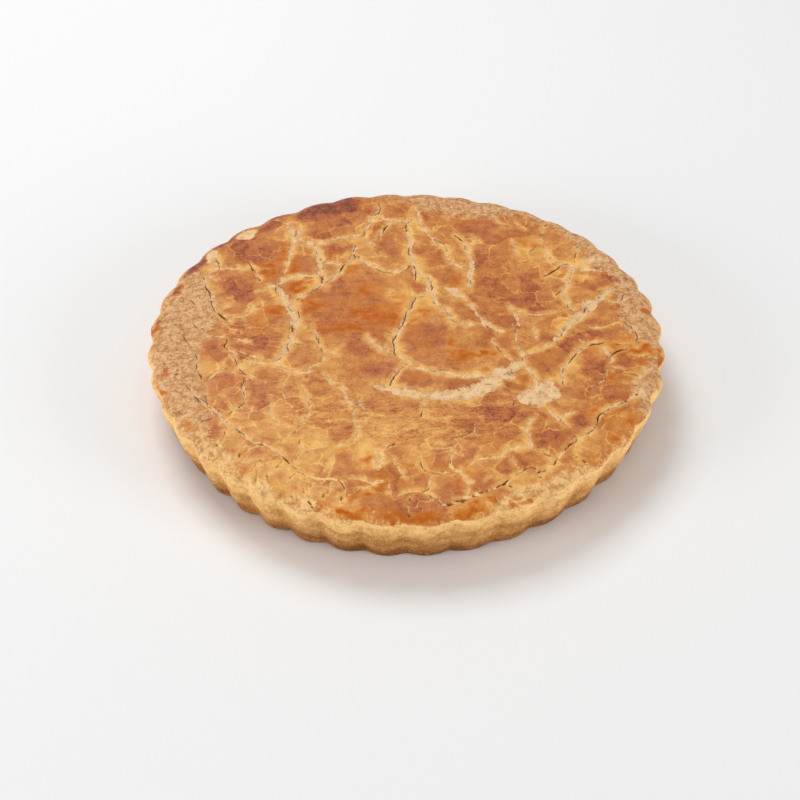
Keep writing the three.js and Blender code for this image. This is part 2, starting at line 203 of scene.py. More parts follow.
RIGHT_CRACKS = [
    ((2, 3, 4.4, 3.8, 2.6, 1.4), 0.45,
     ((96.5, 37), (90.5, 29.5), (84.5, 21), (78, 13.5), (71, 4), (65.5, -3.5), (60, -8.5))),
    ((1,), 0.05, ((61, -8.5), (56, -11.5), (51, -14))),
    ((2.5, 3.5), 0.1, ((80.5, 23.5), (83.5, 20.5), (81.5, 17))),
    ((1.4, 2, 1.6, 1.8, 1.6), 0.7,
     ((87, -5), (81.5, -6.5), (77.5, -9), (73, -14.5), (70.5, -19.5), (68, -23), (67.5, -33))),
    ((1.2,), 0.2, ((79, -5), (76, -2))),
    ((1.4, 1.6, 1.2), 0.2, ((86.5, -5), (87.5, -9.5), (90, -17), (88.5, -19.5))),
    ((0.8,), 0.6, ((88, -20.5), (87, -25.5), (85, -31), (80, -35.5), (76, -39))),
    ((0.8,), 0.8, ((92.5, 22.5), (96.5, 23.5), (99.5, 29))),
    ((1, 1.4), 0.7, ((97.5, 9), (100.5, 4.5), (102.5, -0.5), (101.5, -4.5))),
    ((1, 1.2), 0.9, ((102.5, -5.5), (96.5, -6), (93, -6.5))),
    ((1,), 0.9, ((97, -9.5), (93, -11.5), (89.5, -14.5))),
    ((0.9,), 0.8, ((98.5, -14.5), (102.5, -15.5), (106.5, -14))),
    ((1.2, 1.4, 1.2), 0.7, ((107.5, -21.5), (103.5, -26), (99.5, -31.5), (98.5, -37))),
    ((0.7,), 0.7, ((95.5, -27), (101.5, -28.5))),
    ((0.7,), 0.8, ((89.5, -22.5), (93.5, -23.5))),
    ((0.7,), 0.5, ((78, 6.5), (84.5, 5), (89.5, 6.5), (91.5, 10))),
    ((1.4,), 0.3, ((60, -49), (63, -54.5), (68, -61))),
    ((1.4,), 0.1, ((64, -55.5), (66, -53), (71, -51.5))),
    ((1.2, 1.5, 1.6, 1.5, 1.4, 1.5), 0.75,
     ((99.5, -39.5), (93.5, -44.5), (86.5, -49), (81.5, -54), (79, -60.5), (73, -66), (67, -72),
      (62.5, -79), (57, -86.5), (54, -88))),
    ((1, 1.2, 1.2, 1.1), 0.82,
     ((54, -92), (53.5, -88), (50.5, -85), (47.5, -87), (43, -91), (39.5, -95), (33.5, -98.5),
      (26.5, -102), (19.5, -105.5), (15.5, -106.5), (9.5, -101))),
]
FRONT_CRACKS = [
    ((1.4,), 0.4, ((9.5, -101.5), (5.5, -98.5), (-0.5, -99), (-4.5, -102))),
    ((1,), 0.2, ((43, -79.5), (45, -84.5), (47.5, -87))),
    ((1, 1.4, 1.6, 1.6, 1.6), 0.35,
     ((23.5, -86), (27.5, -82.5), (30.5, -80.5), (37.5, -80), (41, -76), (47, -73.5), (51, -73), (51, -67),
      (50, -61.5), (53.5, -55))),
    ((0.7,), 0.9, ((54.5, -73), (56.5, -75.5), (59, -78.5))),
    ((0.9,), 0.1, ((28.5, -60), (28.5, -65.5), (31, -69.5))),
    ((0.9,), 0.8, ((19.5, -68), (23.5, -66.5), (28, -64))),
    ((0.7,), 0.7, ((34.5, -88.5), (36.5, -91.5))),
    ((0.8,), 0.5, ((41, -41), (46, -44), (45, -48.5))),
    ((1.2, 1.6, 1.2), 0.4, ((7, -42.5), (7.5, -47.5), (6, -53), (5, -58))),
    ((1,), 0.65, ((10, -72), (14.5, -72), (17.5, -71), (19, -68.5))),
    ((1.2, 1.6, 1.4), 0.4, ((18.5, -72.5), (18.5, -79), (18, -84), (21.5, -88), (25, -94), (24.5, -103))),
    ((0.8,), 0.6, ((-6, -78), (-5, -80.5), (-2.5, -79.5), (-1.5, -76.5))),
    ((0.7,), 0.6, ((3.5, -76), (5.5, -77.5), (8.5, -76.5))),
    ((0.9,), 0.65, ((5.5, -80.5), (7, -85.5), (9.5, -87.5), (15.5, -88), (20.5, -86))),
    ((1.2, 1.4), 0.5, ((10.5, -88), (9.5, -92), (9, -96.5), (6, -98.5))),
    ((1.2,), 0.05, ((-6, -81), (-2.5, -86.5), (1, -93))),
    ((0.8,), 0.6, ((-8.5, -74.5), (-5, -71.5))),
    ((3, 3.5, 2), 0.2, ((-12, -76.5), (-11, -81.5), (-13.5, -86))),
    ((0.7,), 0.5, ((-11.5, -104.5), (-13, -110), (-14.5, -112.5))),
    ((0.6,), 0.65, ((1.5, -99.5), (1, -106), (1, -112))),
    ((0.7,), 0.5, ((17.5, -106.5), (17.5, -110), (16, -112.5))),
    ((0.8,), 0.8, ((21.5, -104.5), (24, -108))),
    ((1.4,), 0.1, ((-37, -27), (-34, -30.5), (-32, -34.5))),
    ((1.2, 1.6, 1.4), 0.5, ((-28.5, -34), (-26.5, -39), (-25, -44), (-23, -46), (-20, -44.5))),
    ((1,), 0.4, ((-20, -41), (-20, -45), (-18, -49), (-15.5, -52.5))),
    ((1, 1.2, 1.6, 1.4), 0.2,
     ((-21.5, -48), (-23, -55), (-20.5, -60.5), (-20.5, -66.5), (-24, -70.5), (-29, -73))),
    ((1.2, 1.4, 1.2), 0.35, ((-45, -36.5), (-42.5, -43), (-41, -51.5), (-44, -58), (-46.5, -65.5))),
    ((1, 1.2), 0.5, ((-44.5, -69.5), (-44.5, -76), (-45, -81), (-48.5, -85.5))),
    ((1,), 0.4, ((-31, -78.5), (-33, -85.5), (-35.5, -90.5))),
    ((1.2, 1.8, 2, 1.8, 1.4), 0.6,
     ((-91.5, -40.5), (-85.5, -47), (-79.5, -52), (-75.5, -58), (-69.5, -63), (-64.5, -69.5),
      (-57.5, -73.5), (-53, -77), (-49.5, -82), (-46, -86))),
    ((1.2, 1.4, 1.2), 0.6,
     ((-46.5, -85.5), (-43, -89.5), (-36, -92), (-29, -92.5), (-25.5, -96), (-25, -100.5), (-28, -106.5))),
    ((0.9,), 0.5, ((-31, -92), (-31, -97.5), (-34.5, -103))),
    ((1, 1.4, 1.2), 0.7, ((-70, -31), (-70.5, -35.5), (-69.5, -40), (-69.5, -45.5), (-75, -51.5))),
    ((1.2, 1.4), 0.3, ((-51.5, -29), (-53, -34.5), (-52, -44))),
    ((1, 1.4, 1), 0.5, ((-58, -42), (-57.5, -49), (-56.5, -55), (-54.5, -58.5))),
    ((0.8,), 0.7, ((-87, -37), (-86, -42), (-84.5, -46.5))),
    ((0.9,), 0.65, ((-76, -63), (-76.5, -66.5), (-79, -71))),
    ((0.7,), 0.5, ((-91.5, -56.5), (-88.5, -56), (-87, -59), (-85.5, -64.5))),
    ((0.7,), 0.6, ((-87.5, -57), (-82.5, -55.5))),
    ((1,), 0.5, ((-69.5, -79), (-65.5, -82.5), (-61.5, -83), (-61, -88.5), (-62.5, -93))),
    ((1,), 0.5, ((-51, -83), (-54, -87.5), (-56.5, -91), (-58, -93), (-54.5, -97))),
    ((1,), 0.45, ((-44.5, -88), (-47, -91), (-48.5, -95), (-47.5, -98.5))),
    ((1,), 0.1, ((-56.5, -74), (-62.5, -73.5), (-67.5, -77.5))),
    ((0.9,), 0.1, ((-46.5, -65.5), (-51.5, -69.5), (-56.5, -73.5))),
    ((0.9, 1.2, 0.9), 0.2, ((-44.5, -81), (-42, -76.5), (-38, -75), (-32.5, -73), (-30.5, -72))),
    ((1, 1.2, 0.9), 0.4, ((-25, -92), (-18.5, -92.5), (-14, -94), (-10.5, -92.5))),
    ((0.8,), 0.55, ((-41, -92.5), (-42, -98))),
    ((0.9,), 0.55, ((-57, -90.5), (-57.5, -94), (-55.5, -97.5), (-53.5, -100))),
    ((1.2, 1.6), 0.6, ((-47.5, -101), (-44.5, -101), (-39.5, -104), (-37.5, -107.5))),
    ((0.9,), 0.6, ((-65.5, -70), (-68.5, -76), (-69, -79))),
    ((0.9, 1.1), 0.6, ((-61.5, -82.5), (-58.5, -81.5), (-52.5, -79.5))),
    ((0.8, 1, 0.8), 0.3, ((-27, -106), (-23.5, -102), (-16, -97), (-8, -91.5))),
    ((0.8,), 0.4, ((-8, -91.5), (-6.5, -98), (-7.5, -101))),
    ((0.8,), 0.2, ((-55, -60.5), (-51, -62), (-48.5, -62.5))),
    ((0.7,), 0.7, ((68.5, -77.5), (74, -81.5))),
    ((1.4, 1.8, 1.2), 0.6, ((41, -96), (44.5, -98.5), (49, -97))),
    ((1.2, 1.4), 0.5, ((39, -102), (43.5, -104), (49, -101.5))),
    ((1.2,), 0.5, ((32.5, -106), (36.5, -103), (38.5, -107))),
]
CRACKS = MIDDLE_CRACKS + LEFT_CRACKS + BACK_CRACKS + RIGHT_CRACKS + FRONT_CRACKS

# How a crack is formed
CRACK_SEED = 5
CRACK_SAMPLE = 0.3  # step of the line that distances are measured to
STRETCH_STEPS = 24  # steps of the smooth curve between two points of a crack's way
CRACK_REACH = 9  # how far from a crack its lips and steps still show
CRACK_WANDER = 0.45  # how far a crack strays from its smooth line
CRACK_TAPER = 4  # length over which its width fades at both ends
CRACK_RAGGED = 0.55  # how far its edges are chipped
CRACK_HALO = (2.2, 0.8)  # reach of the straw rim along it: the least, and a share of the half width
CRACK_DEPTH = 1.0  # of a wide crack's floor
GAP_DEPTH = 1.0  # of the dark gap below that floor
LIP_RISE = 0.32  # of the plates' edges along a crack
STEP_RISE = 0.45  # most that one side stands above the other
HAIRLINE_SPACING = 24  # length of crack for each fine branch
HAIRLINE_LENGTHS = (2.5, 9)
HAIRLINE_STRIDES = 3
HAIRLINE_SLANT = 0.8  # most that it leaves the crack askew, in radians
HAIRLINE_BEND = 0.5  # most that it turns at each stride, in radians
HAIRLINE_WIDTH = 0.4
HAIRLINE_GAP = 0.4  # how dark its gap is at most

# Where the glaze ends near the rim: direction in degrees and radius
GLAZE_EDGE = [
    (0, 101), (9, 98), (15, 99), (22, 106), (27, 105), (33, 102), (42, 107), (52, 110), (61, 106),
    (68, 100), (77, 97), (83, 98), (90, 106), (97, 112), (106, 118), (150, 117), (155, 106), (161, 96),
    (167, 88), (173, 88), (180, 90), (188, 96), (197, 97), (208, 101), (218, 108), (230, 113), (242, 114),
    (252, 115), (260, 117), (270, 118), (284, 119), (288, 116), (295, 112), (304, 110.5), (309, 112),
    (314, 115.5), (323, 118), (332, 118), (338, 107), (345, 110), (353, 108), (360, 102),
]
GLAZE_EDGE_RAGGED = (3, 2.2)  # how far it wanders and how far it is chipped
GLAZE_FADE = (-9, 5)  # how far inside that edge the glaze starts to thin out, and outside it ends

# Tones of the crust
PLATE_TONE = 0.5  # how brown a plate of the lid usually is, from 0, straw, to 1, dark russet
BROWNEST_PLATE = 0.74
HALO_PALENESS = 0.85  # share of a plate's brown that the straw rim along a crack loses
STEP_TONE = 1.2  # for each mm that a plate stands above the next one
RIM_TONE = 0.92  # of the dark glaze that ran over the lip
CRAZED_FROM = (35, 70)  # radii between which the middle's large plates give way to small ones
GOLDEN_FROM = (-45, -85)  # y between which the lid's bare crumb turns golden, as the wall is
GOLDEN_SHARE = 0.65  # how far it does
FOOT_TOAST = [(0.49, 26, 12), (0.4, 13, 1)]  # toasting down the wall: share, and heights of start and end; it starts at the lip, which keeps the wall's palest colour there as a painted highlight

# Browner and paler places on the lid's plates, as soft spots: x, y, half length, half width, turn, strength
RUSSET = [
    (-26, 30, 9, 8, 0, 0.4), (-33, 18.5, 13, 7, 0, 0.4), (-22, 25.5, 8, 8, 0, 0.25),
    (9.5, -1.5, 10, 10, 0, 0.35), (2.5, -30.5, 9, 4, -15, 0.45), (23.5, -33.5, 9, 4.5, 0, 0.35),
    (-25, 7, 18, 8, 0, 0.3), (68, -11, 11, 6, 55, 0.34), (82, -22, 6, 8, 0, 0.4),
    (83, -38.5, 12, 7, 50, 0.3), (74, -56.5, 7, 6, 0, 0.2), (85, 1, 10, 8, 0, 0.36),
    (89.5, 17, 6, 8, 0, 0.15), (39.5, 52, 9, 20, 0, 0.2), (49.5, 38, 12, 14, 0, 0.12),
    (59, 23.5, 7, 10, 0, 0.2), (-69.5, -2, 14, 12, 0, 0.22), (-76, 35, 8, 10, 0, 0.2),
    (-73, 63, 10, 13, 45, 0.42), (-64.5, 47.5, 5, 9, 30, 0.38), (-88, 0, 4, 12, 0, 0.2),
    (-69.5, 83, 9, 5, 35, 0.4), (-40, 96, 13, 6, 28, 0.6), (-32.5, 82.5, 15, 7, 15, 0.22),
    (-36, 62, 8, 5, 0, 0.45), (-8, 64, 6, 9, 0, 0.15), (11.5, 54.5, 6, 12, 0, 0.1),
    (10, 87.5, 6, 8, 0, 0.1), (21.5, 81.5, 8, 7, 0, 0.08), (31.5, 81.5, 4, 8, 0, 0.15),
    (-4.5, -92.5, 6, 8, 0, 0.25), (-3, -109.5, 9, 4, 0, 0.4), (7.5, -104, 9, 6, 0, 0.22),
    (19.5, -98.5, 6, 5, 0, 0.3), (30.5, -94.5, 7, 4, 20, 0.35), (43, -79.5, 6, 4, 15, 0.3),
    (60, -68, 8, 7, 0, 0.25), (-19, -8, 9, 7, 0, 0.25), (87, -62, 7, 7, 45, 0.05),
    (-12, -23, 8, 5, 0, 0.25), (27.5, -60, 10, 4, 5, 0.15), (41, -53.5, 16, 3.5, -2, 0.15),
    (-85, -12.5, 6, 5, 0, 0.15), (-78, -33, 6, 6, 0, 0.2), (47, -33, 6, 7, 45, 0.28),
    (50, 7, 8, 4, 0, 0.2), (94.5, -18, 7, 6, 0, 0.28), (89, -29, 6, 7, 0, 0.35),
    (60, -19, 6, 7, 50, 0.22), (40.5, 11.5, 7, 7, 0, 0.15), (27.5, 17, 7, 5, -40, 0.12),
    (-36, 91, 6, 3, 20, 0.3), (88.5, 37, 6, 6, 0, 0.1), (38, -6, 8, 6, 0, 0.25),
    (98.5, 44, 5, 3, -30, 0.25), (90.5, 53, 6, 2, -20, 0.3), (20.5, 40, 5, 4, 0, 0.25),
    (32.5, 38.5, 2, 3, 0, 0.5), (-12, -87, 4, 3, 0, 0.3), (0, -70, 14, 6, 0, -0.15),
    (-59.5, -67, 30, 30, 0, -0.08), (-40, -85, 12, 8, 0, -0.12), (-17, -78.5, 5, 8, 0, -0.25),
    (5, 25.5, 9, 9, 0, -0.12), (-2.5, 31.5, 7, 8, 0, -0.22), (84, -10.5, 4, 4, 0, -0.1),
    (19.5, -3.5, 3, 10, 0, -0.12), (-94, 30, 10, 14, 0, -0.25), (48, 20, 4, 9, 0, 0.2),
    (30, 23, 3, 4, 0, 0.3), (-38, 75, 7, 12, 0, 0.15), (-58, -41, 8, 12, 0, 0.12),
    (43, -68, 6, 4, 0, 0.2), (45, -86, 8, 4, 20, 0.2), (27, -92, 4, 4, 0, 0.2),
    (2, -87, 6, 6, 0, 0.1), (96, 42, 6, 3, -20, 0.3), (5, 32, 4, 4, 0, 0.35),
    (-39, 40, 10, 5, 110, -0.35), (-36, -14, 8, 8, 0, -0.15), (-81, 27, 6, 5, 0, 0.2),
    (-55, 46, 8, 6, 0, 0.2), (-28, 26, 14, 16, 0, 0.2), (-18, -13, 7, 5, 0, 0.12),
    (19, 36, 4, 3, 0, 0.15), (38, 33, 5, 5, 0, 0.15), (46, 8, 8, 4, 0, 0.12),
    (33, 74, 6, 6, 0, 0.15), (35, 54, 4, 4, 0, 0.15), (-36, 88, 18, 8, 15, 0.12),
    (97, 43, 5, 5, 0, 0.4), (-80, -63, 5, 5, 0, 0.15), (80, 44, 9, 4, -15, -0.15),
    (25, 47, 4, 5, 0, -0.1), (-36, -72, 8, 7, 0, -0.12), (88, 57, 8, 3, -10, 0.15),
    (-80, 3, 5, 9, 0, -0.15), (35, -30, 6, 3, 0, -0.15), (14, 17, 4, 5, 0, -0.15),
    (-73, -27, 4, 4, 0, -0.18), (-75, -16, 12, 4, -8, 0.15), (83, 7, 6, 4, 0, 0.3),
    (90, -48, 6, 4, 0, 0.4), (3, -87, 8, 5, 0, 0.12), (37, -91, 5, 3, 0, 0.15),
    (76, 57, 10, 3, -8, 0.12), (-15.5, -79.5, 5, 5, 0, -0.2), (70, -73, 5, 4, 0, -0.1),
    (72, -46, 5, 5, 0, -0.1), (-55, 54, 14, 5, 90, 0.15), (-12, -63, 6, 3.5, -20, -0.2),
    (-23, 78, 10, 5, 90, -0.15), (-25, 56, 4, 5, 0, -0.15), (5, -100, 28, 11, 0, 0.03),
    (-10, -61, 32, 14, 0, -0.06), (-20, 20, 20, 20, 0, 0.08), (-86, -38, 9, 12, 0, -0.12),
    (46, -47, 8, 6, 0, -0.2), (18, -98, 4, 9, 0, -0.2), (-13, -93, 7, 5, 0, 0.2),
    (-28, 28, 8, 13, 0, 0.15), (27, 71, 8, 8, 0, 0.15), (-57, 46, 6, 12, 0, 0.15),
    (68, 36, 5, 10, 0, 0.12), (-33, -49, 10, 8, 0, -0.1), (-14, -44, 7, 5, 0, -0.1),
    (0, 45, 4, 9, 0, -0.15), (86, 41, 6, 4, 0, -0.2), (-76, -18, 13, 4, 0, 0.12),
    (67, -70, 4, 8, 0, -0.12), (-39, 36, 5, 5, 0, -0.15), (83, 8, 9, 4, 0, 0.12),
    (-3.5, 30.5, 5, 5, 0, -0.2), (1, 23, 5, 5, 0, -0.15), (-36.5, 78, 9, 4, 0, 0.15),
    (-79, -1.5, 8, 6, 0, -0.08), (-36.5, 77, 10, 5, 0, 0.12), (-64.5, 45, 5, 8, 20, 0.2),
    (-4, -106, 7, 3, 0, -0.15),
]
# Pools of thick orange glaze, in the same form
POOLS = [
    (-44.5, 21.5, 7, 6, 0, 0.8), (-29, 4.5, 12, 3, 0, 0.85), (-20, 16.5, 10, 2.6, 0, 0.6),
    (-10, 13, 9, 7, 0, 0.4), (-18, 32.5, 5, 5, 0, 0.3), (-49.5, 33.5, 6, 5, 20, 0.75),
    (-59.5, 17.5, 5, 4, 0, 0.8), (-65, 7, 4, 10, 0, 0.4), (-66, 46.5, 6.5, 8, 0, 1.0),
    (-57.5, 61, 3, 10, 0, 0.6), (-34.5, 60, 4.5, 2.4, 0, 0.8), (-26, 48.5, 3.5, 3, 0, 0.5),
    (22.5, -99, 2.4, 4, 0, 0.4), (21.5, -109, 5, 3, 0, 0.9), (28.5, -107.5, 4, 3, 0, 0.8),
    (-2.5, -111.5, 12, 3, 0, 0.6), (9.5, -111.5, 8, 2.4, 0, 0.5), (-17.5, -100.5, 11, 3.5, 28, 0.7),
    (-15.5, -80, 4, 5, 0, 0.4), (-28, -75.5, 4, 3, 0, 0.35), (95, -54.5, 4, 5, 30, 0.4),
    (85, -67, 5, 5, 40, 0.35), (76, -80, 5, 3, 40, 0.4), (35.5, -13, 9, 2.4, 5, 0.7),
    (24.5, -15.5, 5, 3.6, 0, 0.6), (19.5, -8.5, 2.4, 7, 0, 0.5), (102.5, -10.5, 7, 4, 0, 0.75),
    (57, 69, 5, 4, 0, 0.5), (-41.5, 81.5, 8, 3, 20, 0.3), (50, -31.5, 3, 5, 0, 0.4),
    (69, 7, 5, 4, 50, 0.3), (-25, 45, 6, 5, 0, 0.4), (-112.5, 5, 2, 6, 0, 0.6),
    (-112.5, 22, 2, 4, 80, 0.5), (-104, -27, 2, 4, 0, 0.5),
    (-105.5, -36.5, 2, 5, 25, 0.6), (108, 17.5, 2.4, 3, 0, 0.9), (111, -15.5, 2, 7, 0, 0.75),
    (-84.5, -59.5, 4, 3, 0, 0.5), (-89.5, -64, 3, 6, 30, 0.45), (-44, -102.5, 5, 2.4, -20, 0.5),
    (-35, -106.5, 4, 2, 0, 0.55), (-22, -110, 8, 1.8, -8, 0.7), (-53, 49, 4, 10, 0, 0.7),
    (-18, 18, 26, 22, 0, 0.28), (4, 2, 4, 14, 15, 0.3), (90, -61, 6, 6, 40, 0.25),
    (89, -29, 5, 7, 0, 0.5), (62, -16, 5, 4, 50, 0.3), (-10, -92, 5, 5, 0, 0.4),
    (22, -93, 3, 5, 0, 0.35), (-95, -58, 5, 8, -30, 0.25), (-62, -88, 8, 5, -35, 0.2),
    (45, -98, 6, 3, 20, 0.3), (46, -103.5, 5, 2, 20, 0.8), (36, -104.5, 3, 2, 0, 0.7),
    (5, -80, 8, 5, 0, 0.2), (3, -29, 6, 3, 0, 0.4), (22, 38, 5, 4, 0, 0.6),
    (-77, -31, 5, 6, 0, 0.35), (98, -8, 9, 10, 0, 0.5), (103, -16, 5, 5, 0, 0.35),
    (0, -88, 28, 9, 0, 0.25), (85, -48, 8, 8, 0, 0.3), (-90, -10, 5, 14, 0, 0.4),
    (80, -54, 5, 4, 0, 0.4), (27, -61, 9, 4, 0, 0.3), (33, -71, 5, 5, 0, 0.3),
    (22, -88, 7, 7, 0, 0.25), (6, 17, 6, 5, 0, 0.35), (-2, 26, 7, 4, 0, 0.3),
    (31, 41, 3, 4, 0, 0.4), (-34, 4, 6, 3, 0, 0.3), (8, -13, 5, 5, 0, 0.3),
    (45, -1, 4, 8, 0, 0.25), (80, -11, 6, 6, 0, 0.3),
]
# Dark glaze that ran over the lip, in the same form
RIM_GLAZE = [
    (-98, 51.5, 10, 5, 58, 0.9), (-105, 32, 6, 3, 60, 0.7), (-113, 8.5, 6, 2, 85, 0.8),
    (-105, -24, 5, 2, 100, 0.6), (-88, 70.5, 10, 3, 52, 0.75), (-77, 84, 9, 2, 45, 0.6),
    (-62, 95, 14, 3.2, 34, 0.75), (-32, 99, 13, 7, 16, 0.6), (-40, 95, 18, 8, 20, 0.7),
    (108, 17, 2.4, 3, 0, 0.7), (100, 43, 6, 3, -50, 0.5), (2, -111.5, 15, 3.2, 0, 0.75),
]
# Painted shade on the front of the wall below the lip, where it faces away from the light, in the same form
FRONT_WALL_SHADE = [(4, -110, 45, 20, 0, 0.1)]
# Bare, pale places where the glaze came off, in the same form
BARE = [
    (56.5, -42, 10.5, 4.8, 15, 1.0), (61.5, -37, 5, 5.5, 0, 0.8), (-76, 76, 7, 3, 35, 1.0),
    (82.5, 20.5, 4, 4, 0, 0.9), (22.5, 31, 6, 3, -45, 0.5), (29.5, 41, 3, 8, 0, 0.45),
    (45, -100, 5, 2.5, 20, 0.5), (-42, -103.5, 7, 2.6, -25, 0.7), (-75.5, -75.5, 9, 4, -45, 0.45),
    (-62, -93, 9, 3.5, -35, 0.45), (-11, -81.5, 2.6, 6, 10, 0.8), (88.5, 54.5, 8, 2, 0, 0.6),
    (-92, 58, 2.5, 8, 0, 0.6), (-87, 41, 8, 6, 0, 0.4), (101, -39, 7, 3.5, 60, 0.5),
]
# Places where the glaze is wrinkled along x, in the same form
WRINKLED = [
    (7.5, -57, 50, 17, 0, 1.0), (-44.5, -43.5, 30, 20, 0, 0.5), (-71.5, 0, 22, 14, 0, 0.6),
    (-25, 11, 22, 18, 0, 0.5), (24.5, -16.5, 22, 8, 0, 0.5), (84, -23.5, 16, 22, 0, 0.3),
    (47.5, 41, 16, 28, 0, 0.3),
]
# Places broken into thin layers, in the same form
FLAKY = [
    (45, -100, 11, 5, 20, 1.0), (-42, -103.5, 10, 4, -25, 0.9), (-77.5, -73.5, 13, 6, -45, 0.9),
    (-62, -93, 12, 5, -35, 0.8), (-85.5, -59.5, 8, 5, -45, 0.7), (-10, -74.5, 5, 8, 0, 0.8),
    (54, 87, 14, 6, -35, 0.6), (19.5, 101, 18, 4, -10, 0.6), (99, 46.5, 8, 8, 0, 0.5),
    (106.5, -23.5, 4, 14, 0, 0.6), (-84, -74, 16, 4, -48, 0.9), (-58, -97, 16, 4, -30, 0.9),
    (-24, -110.5, 16, 3, -12, 0.8), (32, -108.5, 16, 3, 16, 0.8), (66, -92, 16, 4, 36, 0.7),
]

# Heights of the relief
FLAKE_HEIGHT = 0.22
PIT_DEPTH = 0.28
WRINKLE_HEIGHT = 0.14
LID_UNEVENNESS = 0.1
BASE_FADE = 2.5  # height over which the relief fades towards the flat base

# Colours, as sRGB values from 0 to 255
# The glaze's darker browns carry a rose-lilac tint that is painted reflection of the soft light, over the
# russet egg wash
GLAZE_AND_SHEEN_COLOURS = [(0, (236, 183, 100)), (0.3, (216, 155, 84)), (0.55, (195, 125, 67)), (0.8, (175, 97, 55)),
                 (1, (122, 66, 53))]
POOL_COLOURS = [(0.2, (220, 142, 50)), (0.6, (201, 110, 24)), (1, (182, 90, 10))]
CREAM_COLOURS = [(0.45, (238, 200, 152)), (0.7, (218, 172, 117))]
BORDER_COLOURS = [(0.36, (226, 178, 128)), (0.5, (211, 160, 111)), (0.64, (192, 138, 91))]
# The wall's first, palest stop is golden crust and, along the untoasted lip, a painted highlight
WALL_COLOURS = [(0, (250, 203, 133)), (0.3, (236, 182, 112)), (0.65, (188, 130, 70)), (1, (134, 80, 38))]
FLOUR_COLOUR = (246, 216, 172)
# Painted shade deep in the cracks' gaps
GAP_SHADE_COLOUR = (76, 34, 14)
# Painted shade in the crumb's pits and beside the cracks' gaps; also the colour of dark specks and of the
# border's fine lines
PIT_SHADE_AND_SPECK_COLOUR = (152, 94, 48)
FLOOR_COLOUR = (238, 238, 238)

# Surfaces
GLAZE_ROUGHNESS = 0.38
CRUMB_ROUGHNESS = 0.85
FLOOR_ROUGHNESS = 0.9
SHEEN = 0.12  # specular level
BUMP_DEPTH = 0.7  # of the finest grit and folds

# Floor and plain soft light, in metres and watts
FLOOR_HALF = 6
SURROUND = 0.45  # strength of the white all round
SOFTBOXES = {  # where each one stands, its side and its power
    "overhead": ((-0.4, 0.7, 1.2), 0.7, 10),
    "left_fill": ((-1.2, -0.7, 0.45), 0.6, 8),
    "right_fill": ((1.2, -0.7, 0.45), 0.6, 8),
}

# The photo's view: the camera's distance in metres, its elevation, and the pixel where the origin shows
IMAGE_SIDE = 800
ORIGIN_PIXEL = (405.98, 385.88)
CAMERA_DISTANCE = 0.8
CAMERA_ELEVATION = math.radians(40.88)
SENSOR = 36
LENS = 78.98


def smoothstep(low, high, value):
    """0 below low, 1 above high and a smooth rise between them."""
    share = np.clip((value - low) / (high - low), 0, 1)
    return share * share * (3 - 2 * share)


def lattice(cell, seed):
    """A repeatable random number from 0 to 1 for each whole-numbered place (n, 3), by a hash."""
    mixed = cell[:, 0] * 73856093 ^ cell[:, 1] * 19349663 ^ cell[:, 2] * 83492791 ^ seed * 40503
    mixed = (mixed ^ (mixed >> 13)) * 1274126177 & 0xFFFFFFFF
    mixed = (mixed ^ (mixed >> 16)) * 2246822519 & 0xFFFFFFFF
    return (mixed ^ (mixed >> 15)) / 0xFFFFFFFF


def noise(points, size, seed):
    """Smooth noise from about -1 to 1 at points (n, 3).

    Its size is its grain, for all axes or for each, and every seed gives another noise.
    """
    places = points / np.asarray(size, float)
    cell = np.floor(places).astype(np.int64)
    inner = places - cell
    blend = inner ** 3 * (inner * (inner * 6 - 15) + 10)
    total = np.zeros(len(points))
    for corner in np.ndindex(2, 2, 2):
        weight = np.prod(np.where(corner, blend, 1 - blend), axis=1)
        for axis in range(3):
            slope = 2 * lattice(cell + corner, 3 * seed + axis) - 1
            total += weight * slope * (inner[:, axis] - corner[axis])
    return 1.7 * total  # which brings its range to about -1 to 1


def spots(points, marks):
    """Sum of the soft spots in a list at points (n, 2 or more)."""
    total = np.zeros(len(points))
    for x, y, long, wide, turn, strength in marks:
        c, s = math.cos(math.radians(turn)), math.sin(math.radians(turn))
        dx, dy = points[:, 0] - x, points[:, 1] - y
        away = ((dx * c + dy * s) / long) ** 2 + ((dy * c - dx * s) / wide) ** 2
        total += strength * np.exp(-(away ** 2))
    return total


# The crust's form


def out_of_round(angle):
    """How far the crust stands out of a true circle in one direction."""
    return sum(size * np.cos(lobes * (angle - math.radians(peak))) for lobes, size, peak in OUT_OF_ROUND)


def flute_angle(turn):
    """Direction of a place on the fluted wall, counted in flutes from the first tip."""
    even = FIRST_TIP + math.tau * turn / FLUTE_COUNT
    angle = even
    for _ in range(DRIFT_PASSES):
        angle = even - FLUTE_DRIFT * np.cos(2 * (angle - DRIFT_AXIS))
    return angle


def flute_dip(turn):
    """How far the wall is pressed in at such a place: 0 on a tip, the full depth in a valley."""
    soft = math.sqrt(FLUTE_SOFTNESS)
    lobe = np.hypot(np.cos(math.pi * turn), soft) - soft
    tip = math.hypot(1, soft) - soft
    wave = np.sin(FLUTE_UNEVENNESS["lobes"] * math.tau * turn / FLUTE_COUNT + FLUTE_UNEVENNESS["start"])
    return FLUTE_DEPTH * (1 + FLUTE_UNEVENNESS["share"] * wave) * (1 - lobe / tip)


def lid_swell(x, y):
    """The lid's rise above its mean level."""
    dome = LID_DOME * (1 - np.minimum(1, np.hypot(x, y) / SHOULDER_RADIUS) ** 2)
    waves = 0
    for size, length, heading, start in LID_WAVES:
        along = x * math.cos(math.radians(heading)) + y * math.sin(math.radians(heading))
        waves = waves + size * np.sin(math.tau * along / length + start)
    return dome + waves


